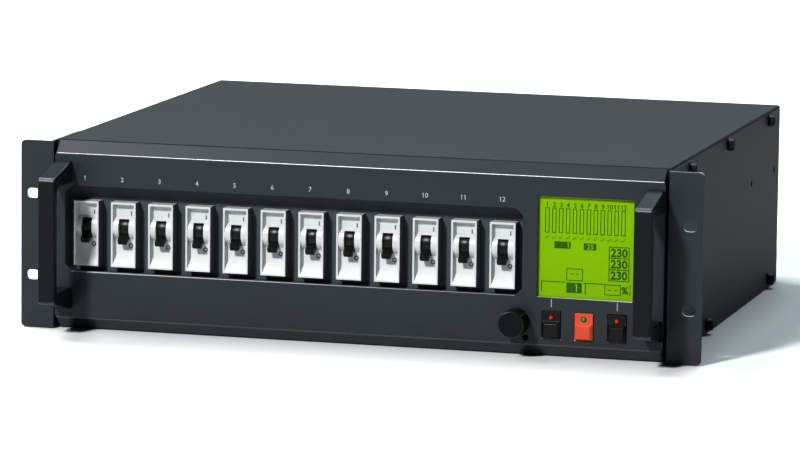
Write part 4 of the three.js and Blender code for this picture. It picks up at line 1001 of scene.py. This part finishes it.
def ring(name, outer, inner, depth, at, sides=LAMP_SIDES):
    """A flat ring about the Y direction: a disc inset on both ends and bridged through."""
    bpy.ops.object.select_all(action="DESELECT")
    bpy.ops.mesh.primitive_cylinder_add(
        vertices=sides, radius=outer, depth=depth, location=at, rotation=(math.radians(90), 0, 0),
    )
    made = bpy.context.object
    made.name = name
    settled(made)
    pick(made, faces=lambda f: abs(f.normal.y) > 0.9)
    bpy.ops.mesh.inset(thickness=outer - inner)
    bpy.ops.mesh.bridge_edge_loops()
    leave()
    return made


def lamp_rim(node):
    """The dark lip of the lamp's hole."""
    low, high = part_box(node)
    radius = (high.x - low.x) / 2 + LAMP_HOLE_GAP
    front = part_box(node.replace("led", "button"))[0].y + KEY_STEP
    at = ((low.x + high.x) / 2, front, (low.z + high.z) / 2)
    rim = ring(node + "_rim", radius + LAMP_LIP_WIDTH, radius, LAMP_LIP_DEPTH, at)
    smooth(rim)
    dressed(rim, FINISHES["black_moulding"], BODY_OF[node])


for node in ("led_left", "led_centre", "led_right"):
    lamp(node)
    lamp_rim(node)


# Fasteners

SIDE_SCREW_RADIUS, SIDE_SCREW_HEIGHT = 4.2, 4.4
REAR_SCREW_RADIUS, REAR_SCREW_HEIGHT = 2.8, 1.9
FLANGE_SCREW_RADIUS, FLANGE_SCREW_HEIGHT = 2.1, 1.5
SCREW_SLOT_WIDTH, SCREW_SLOT_DEPTH = 1.2, 1.1
HEAD_DOME_SHARE, HEAD_DOME_STEPS = 0.3, 4


def slotted_screw(name, radius_mm, height_mm, sides=32):
    """A pan head with a turned dome and a milled slot, standing on the origin along +Z."""
    bpy.ops.object.select_all(action="DESELECT")
    bpy.ops.mesh.primitive_cylinder_add(
        vertices=sides, radius=radius_mm * MM, depth=height_mm * MM, location=(0, 0, height_mm / 2 * MM),
    )
    head = bpy.context.object
    head.name = name
    settled(head)
    top = (height_mm - 0.01) * MM
    half = SCREW_SLOT_WIDTH * radius_mm / SIDE_SCREW_RADIUS / 2 * MM
    for side in (-half, half):
        bpy.ops.object.mode_set(mode="EDIT")
        bpy.ops.mesh.select_all(action="SELECT")
        bpy.ops.mesh.bisect(plane_co=(0, side, 0), plane_no=(0, 1, 0))
        leave()
    pick(head, edges=lambda a, b: a.z > top and b.z > top and max(abs(a.y), abs(b.y)) > half * 1.02)
    bevel_picked(radius_mm * HEAD_DOME_SHARE, HEAD_DOME_STEPS)
    pick(head, faces=lambda f: f.center.z > top and abs(f.center.y) < half * 0.5)
    depth = SCREW_SLOT_DEPTH * radius_mm / SIDE_SCREW_RADIUS * MM
    bpy.ops.mesh.extrude_region_move(TRANSFORM_OT_translate={"value": (0, 0, -depth)})
    leave()
    smooth(head, 35)
    return head


def screws(pattern, name, places, turn, finish):
    """A row of screws: the pattern copied to each place and turned to its wall."""
    for number, place in enumerate(places, 1):
        copy = repeated(pattern, f"{name}_{number}", (0, 0, 0))
        copy.rotation_euler = turn
        copy.location = place
        settled(copy)
        dressed(copy, finish)


COVER_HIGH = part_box("top_cover")[1]
EAR_FLANGE_FACE = COVER_HIGH.x + 2.7 * MM
FRONT_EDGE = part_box("rack_ear_right")[0].y
# Each side screw's place behind the ears' front and above the floor, in mm, and the face it sits on.
SIDE_SCREWS = (
    (54, 125, EAR_FLANGE_FACE),
    (190.5, 125, COVER_HIGH.x),
    (334.4, 125, COVER_HIGH.x),
    (129.7, 6.5, COVER_HIGH.x),
    (343.6, 6.5, COVER_HIGH.x),
)
SIDE_SLOT_TURN = math.radians(20)


def side_screws():
    """Five screws on each side hold the cover and the ears."""
    pattern = slotted_screw("screw_pattern", SIDE_SCREW_RADIUS, SIDE_SCREW_HEIGHT)
    right = [(face, FRONT_EDGE + y * MM, z * MM) for y, z, face in SIDE_SCREWS]
    left = [(-x, y, z) for x, y, z in right]
    screws(pattern, "side_screw_right", right, (0, math.radians(90), SIDE_SLOT_TURN), SCREW_BLACK)
    screws(pattern, "side_screw_left", left, (0, math.radians(-90), -SIDE_SLOT_TURN), SCREW_BLACK)
    bpy.data.objects.remove(pattern)


side_screws()


# Rear connectors

PANEL_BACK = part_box("rear_panel")[1].y
INSERT_RISE = 12.0 * MM
CONTACT_COLUMNS, CONTACT_PITCH, CONTACT_ROW = 8, 8.0, 6.5
SLEEVE_RADIUS, SLEEVE_BORE, SLEEVE_LENGTH, SLEEVE_SINK = 1.6, 1.0, 7.0, 1.0
CAVITY_RADIUS, CAVITY_DEPTH, DISC_THICKNESS, DISC_SINK = 9.4, 10.8, 1.6, 1.2
# The pins, and the insulator in the other signal socket, are the faces at the bottom that lie no further
# from the axis than this, in mm, and are smaller than this, in square mm.
PIN_REACH, PIN_FACE, PLUG_REACH, PLUG_FACE = 7.5, 40, 8.6, 300
SEAL_OUTER, SEAL_INNER, SEAL_LENGTH, SEAL_PLACE = 10.3, 7.4, 11, 21
INSERT_HALF_WIDTH, INSERT_HALF_HEIGHT, SOCKET_FLANGE = 36.3, 13.9, 3.0
FAN_HOLE_HALF = 35.75
# Where the rear panel's screws stand along its upper and lower edge, in mm from the middle,
# and how far a flange screw stands across and up from its socket's middle.
UPPER_SCREWS, LOWER_SCREWS = (-205, -119, -27, 85, 205), (-205, -119, -27, 100, 205)
SCREW_INSET, REAR_SLOT_TURN = 7 * MM, math.radians(35)
SOCKET_SCREW = (43.6, 19.6)
CONTROL_SCREW = (9.6, 12.0)


def output_inserts():
    """The black insulator that carries the contacts, and a brass sleeve in each of its holes."""
    bpy.ops.object.select_all(action="DESELECT")
    bpy.ops.mesh.primitive_cylinder_add(
        vertices=20, radius=SLEEVE_RADIUS * MM, depth=SLEEVE_LENGTH * MM, rotation=(math.radians(90), 0, 0),
    )
    sleeve = bpy.context.object
    sleeve.name = "sleeve_pattern"
    settled(sleeve)
    end = SLEEVE_LENGTH / 2 * MM
    pick(sleeve, faces=lambda f: f.center.y > end - 0.01 * MM)
    bpy.ops.mesh.inset(thickness=(SLEEVE_RADIUS - SLEEVE_BORE) * MM)
    bpy.ops.mesh.extrude_region_move(TRANSFORM_OT_translate={"value": (0, -end, 0)})
    leave()
    rounded(sleeve, 0.12)
    for number in (1, 2):
        socket = finished[f"output_socket_{number}"]
        centre = middle(f"output_socket_{number}")
        face_back = PANEL_BACK + INSERT_RISE

        def on_insert(face):
            across, up = abs(face.center.x - centre.x), abs(face.center.z - centre.z)
            inside = across < INSERT_HALF_WIDTH * MM and up < INSERT_HALF_HEIGHT * MM
            behind_flange = face.center.y > PANEL_BACK + (SOCKET_FLANGE + 0.5) * MM
            return inside and behind_flange and face.center.y < face_back + 0.1 * MM

        refinish(socket, on_insert, FINISHES["fan_moulding"])
        row = []
        for column in range(CONTACT_COLUMNS):
            across = (column - (CONTACT_COLUMNS - 1) / 2) * CONTACT_PITCH * MM
            for side in (-1, 1):
                up = side * CONTACT_ROW * MM
                at = (centre.x + across, face_back - end - SLEEVE_SINK * MM, centre.z + up)
                row.append(repeated(sleeve, "sleeve", at))
        dressed(joined(row, f"output_contacts_{number}"), CONTACT_METAL)
    bpy.data.objects.remove(sleeve)


def control_inserts():
    """Black insulators in the two signal sockets; the pins and the shells stay metal."""
    face_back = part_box("control_in_socket")[1].y
    centre = middle("control_in_socket")
    bpy.ops.object.select_all(action="DESELECT")
    bpy.ops.mesh.primitive_cylinder_add(
        vertices=48, radius=CAVITY_RADIUS * MM, depth=DISC_THICKNESS * MM,
        location=(centre.x, face_back - (CAVITY_DEPTH + DISC_SINK) * MM, centre.z),
        rotation=(math.radians(90), 0, 0),
    )
    disc = bpy.context.object
    disc.name = "control_in_insulator"
    settled(disc)
    rounded(disc, 0.2)
    dressed(disc, FINISHES["fan_moulding"])

    def reach(face, axis):
        return math.hypot(face.center.x - axis.x, face.center.z - axis.z)

    floor = face_back - CAVITY_DEPTH * MM

    def on_pin(face):
        near = reach(face, centre) < PIN_REACH * MM and face.area < PIN_FACE * MM**2
        return near and face.center.y > floor

    refinish(finished["control_in_socket"], on_pin, CONTACT_METAL)
    axis = middle("control_out_socket")

    def on_plug(face):
        near = reach(face, axis) < PLUG_REACH * MM and face.area < PLUG_FACE * MM**2
        return near and face.center.y > floor - 2 * MM

    refinish(finished["control_out_socket"], on_plug, FINISHES["fan_moulding"])


def gland_seal():
    """The rubber ring that the nut squeezes round a lead."""
    centre = middle("mains_gland")
    at = (centre.x, PANEL_BACK + SEAL_PLACE * MM, centre.z)
    seal = ring("gland_seal", SEAL_OUTER * MM, SEAL_INNER * MM, SEAL_LENGTH * MM, at, sides=64)
    rounded(seal, 1.0, 4)
    dressed(seal, SEAL_RUBBER)


def rear_screws():
    """Black screws of the rear panel and the fans, and plated ones on the sockets' flanges."""
    low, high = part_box("rear_panel")
    rows = [(x * MM, high.z - SCREW_INSET) for x in UPPER_SCREWS]
    rows += [(x * MM, low.z + SCREW_INSET) for x in LOWER_SCREWS]
    for number in (1, 2):
        centre = middle(f"fan_frame_{number}")
        half = FAN_HOLE_HALF * MM
        rows += [(centre.x + a, centre.z + b) for a in (-half, half) for b in (-half, half)]
    turn = (math.radians(-90), 0, REAR_SLOT_TURN)
    pattern = slotted_screw("screw_pattern", REAR_SCREW_RADIUS, REAR_SCREW_HEIGHT)
    screws(pattern, "rear_screw", [(x, PANEL_BACK, z) for x, z in rows], turn, SCREW_BLACK)
    bpy.data.objects.remove(pattern)
    pattern = slotted_screw("screw_pattern", FLANGE_SCREW_RADIUS, FLANGE_SCREW_HEIGHT)
    places = []
    for number in (1, 2):
        centre = middle(f"output_socket_{number}")
        back = PANEL_BACK + SOCKET_FLANGE * MM
        across, up = SOCKET_SCREW
        places += [(centre.x + a * MM, back, centre.z + b * MM) for a in (-across, across) for b in (-up, up)]
    for node in ("control_in_socket", "control_out_socket"):
        centre = middle(node)
        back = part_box(node)[1].y
        across, up = CONTROL_SCREW
        places += [(centre.x + side * across * MM, back, centre.z - side * up * MM) for side in (-1, 1)]
    screws(pattern, "flange_screw", places, turn, FINISHES["zinc_steel"])
    bpy.data.objects.remove(pattern)


output_inserts()
control_inserts()
gland_seal()
rear_screws()
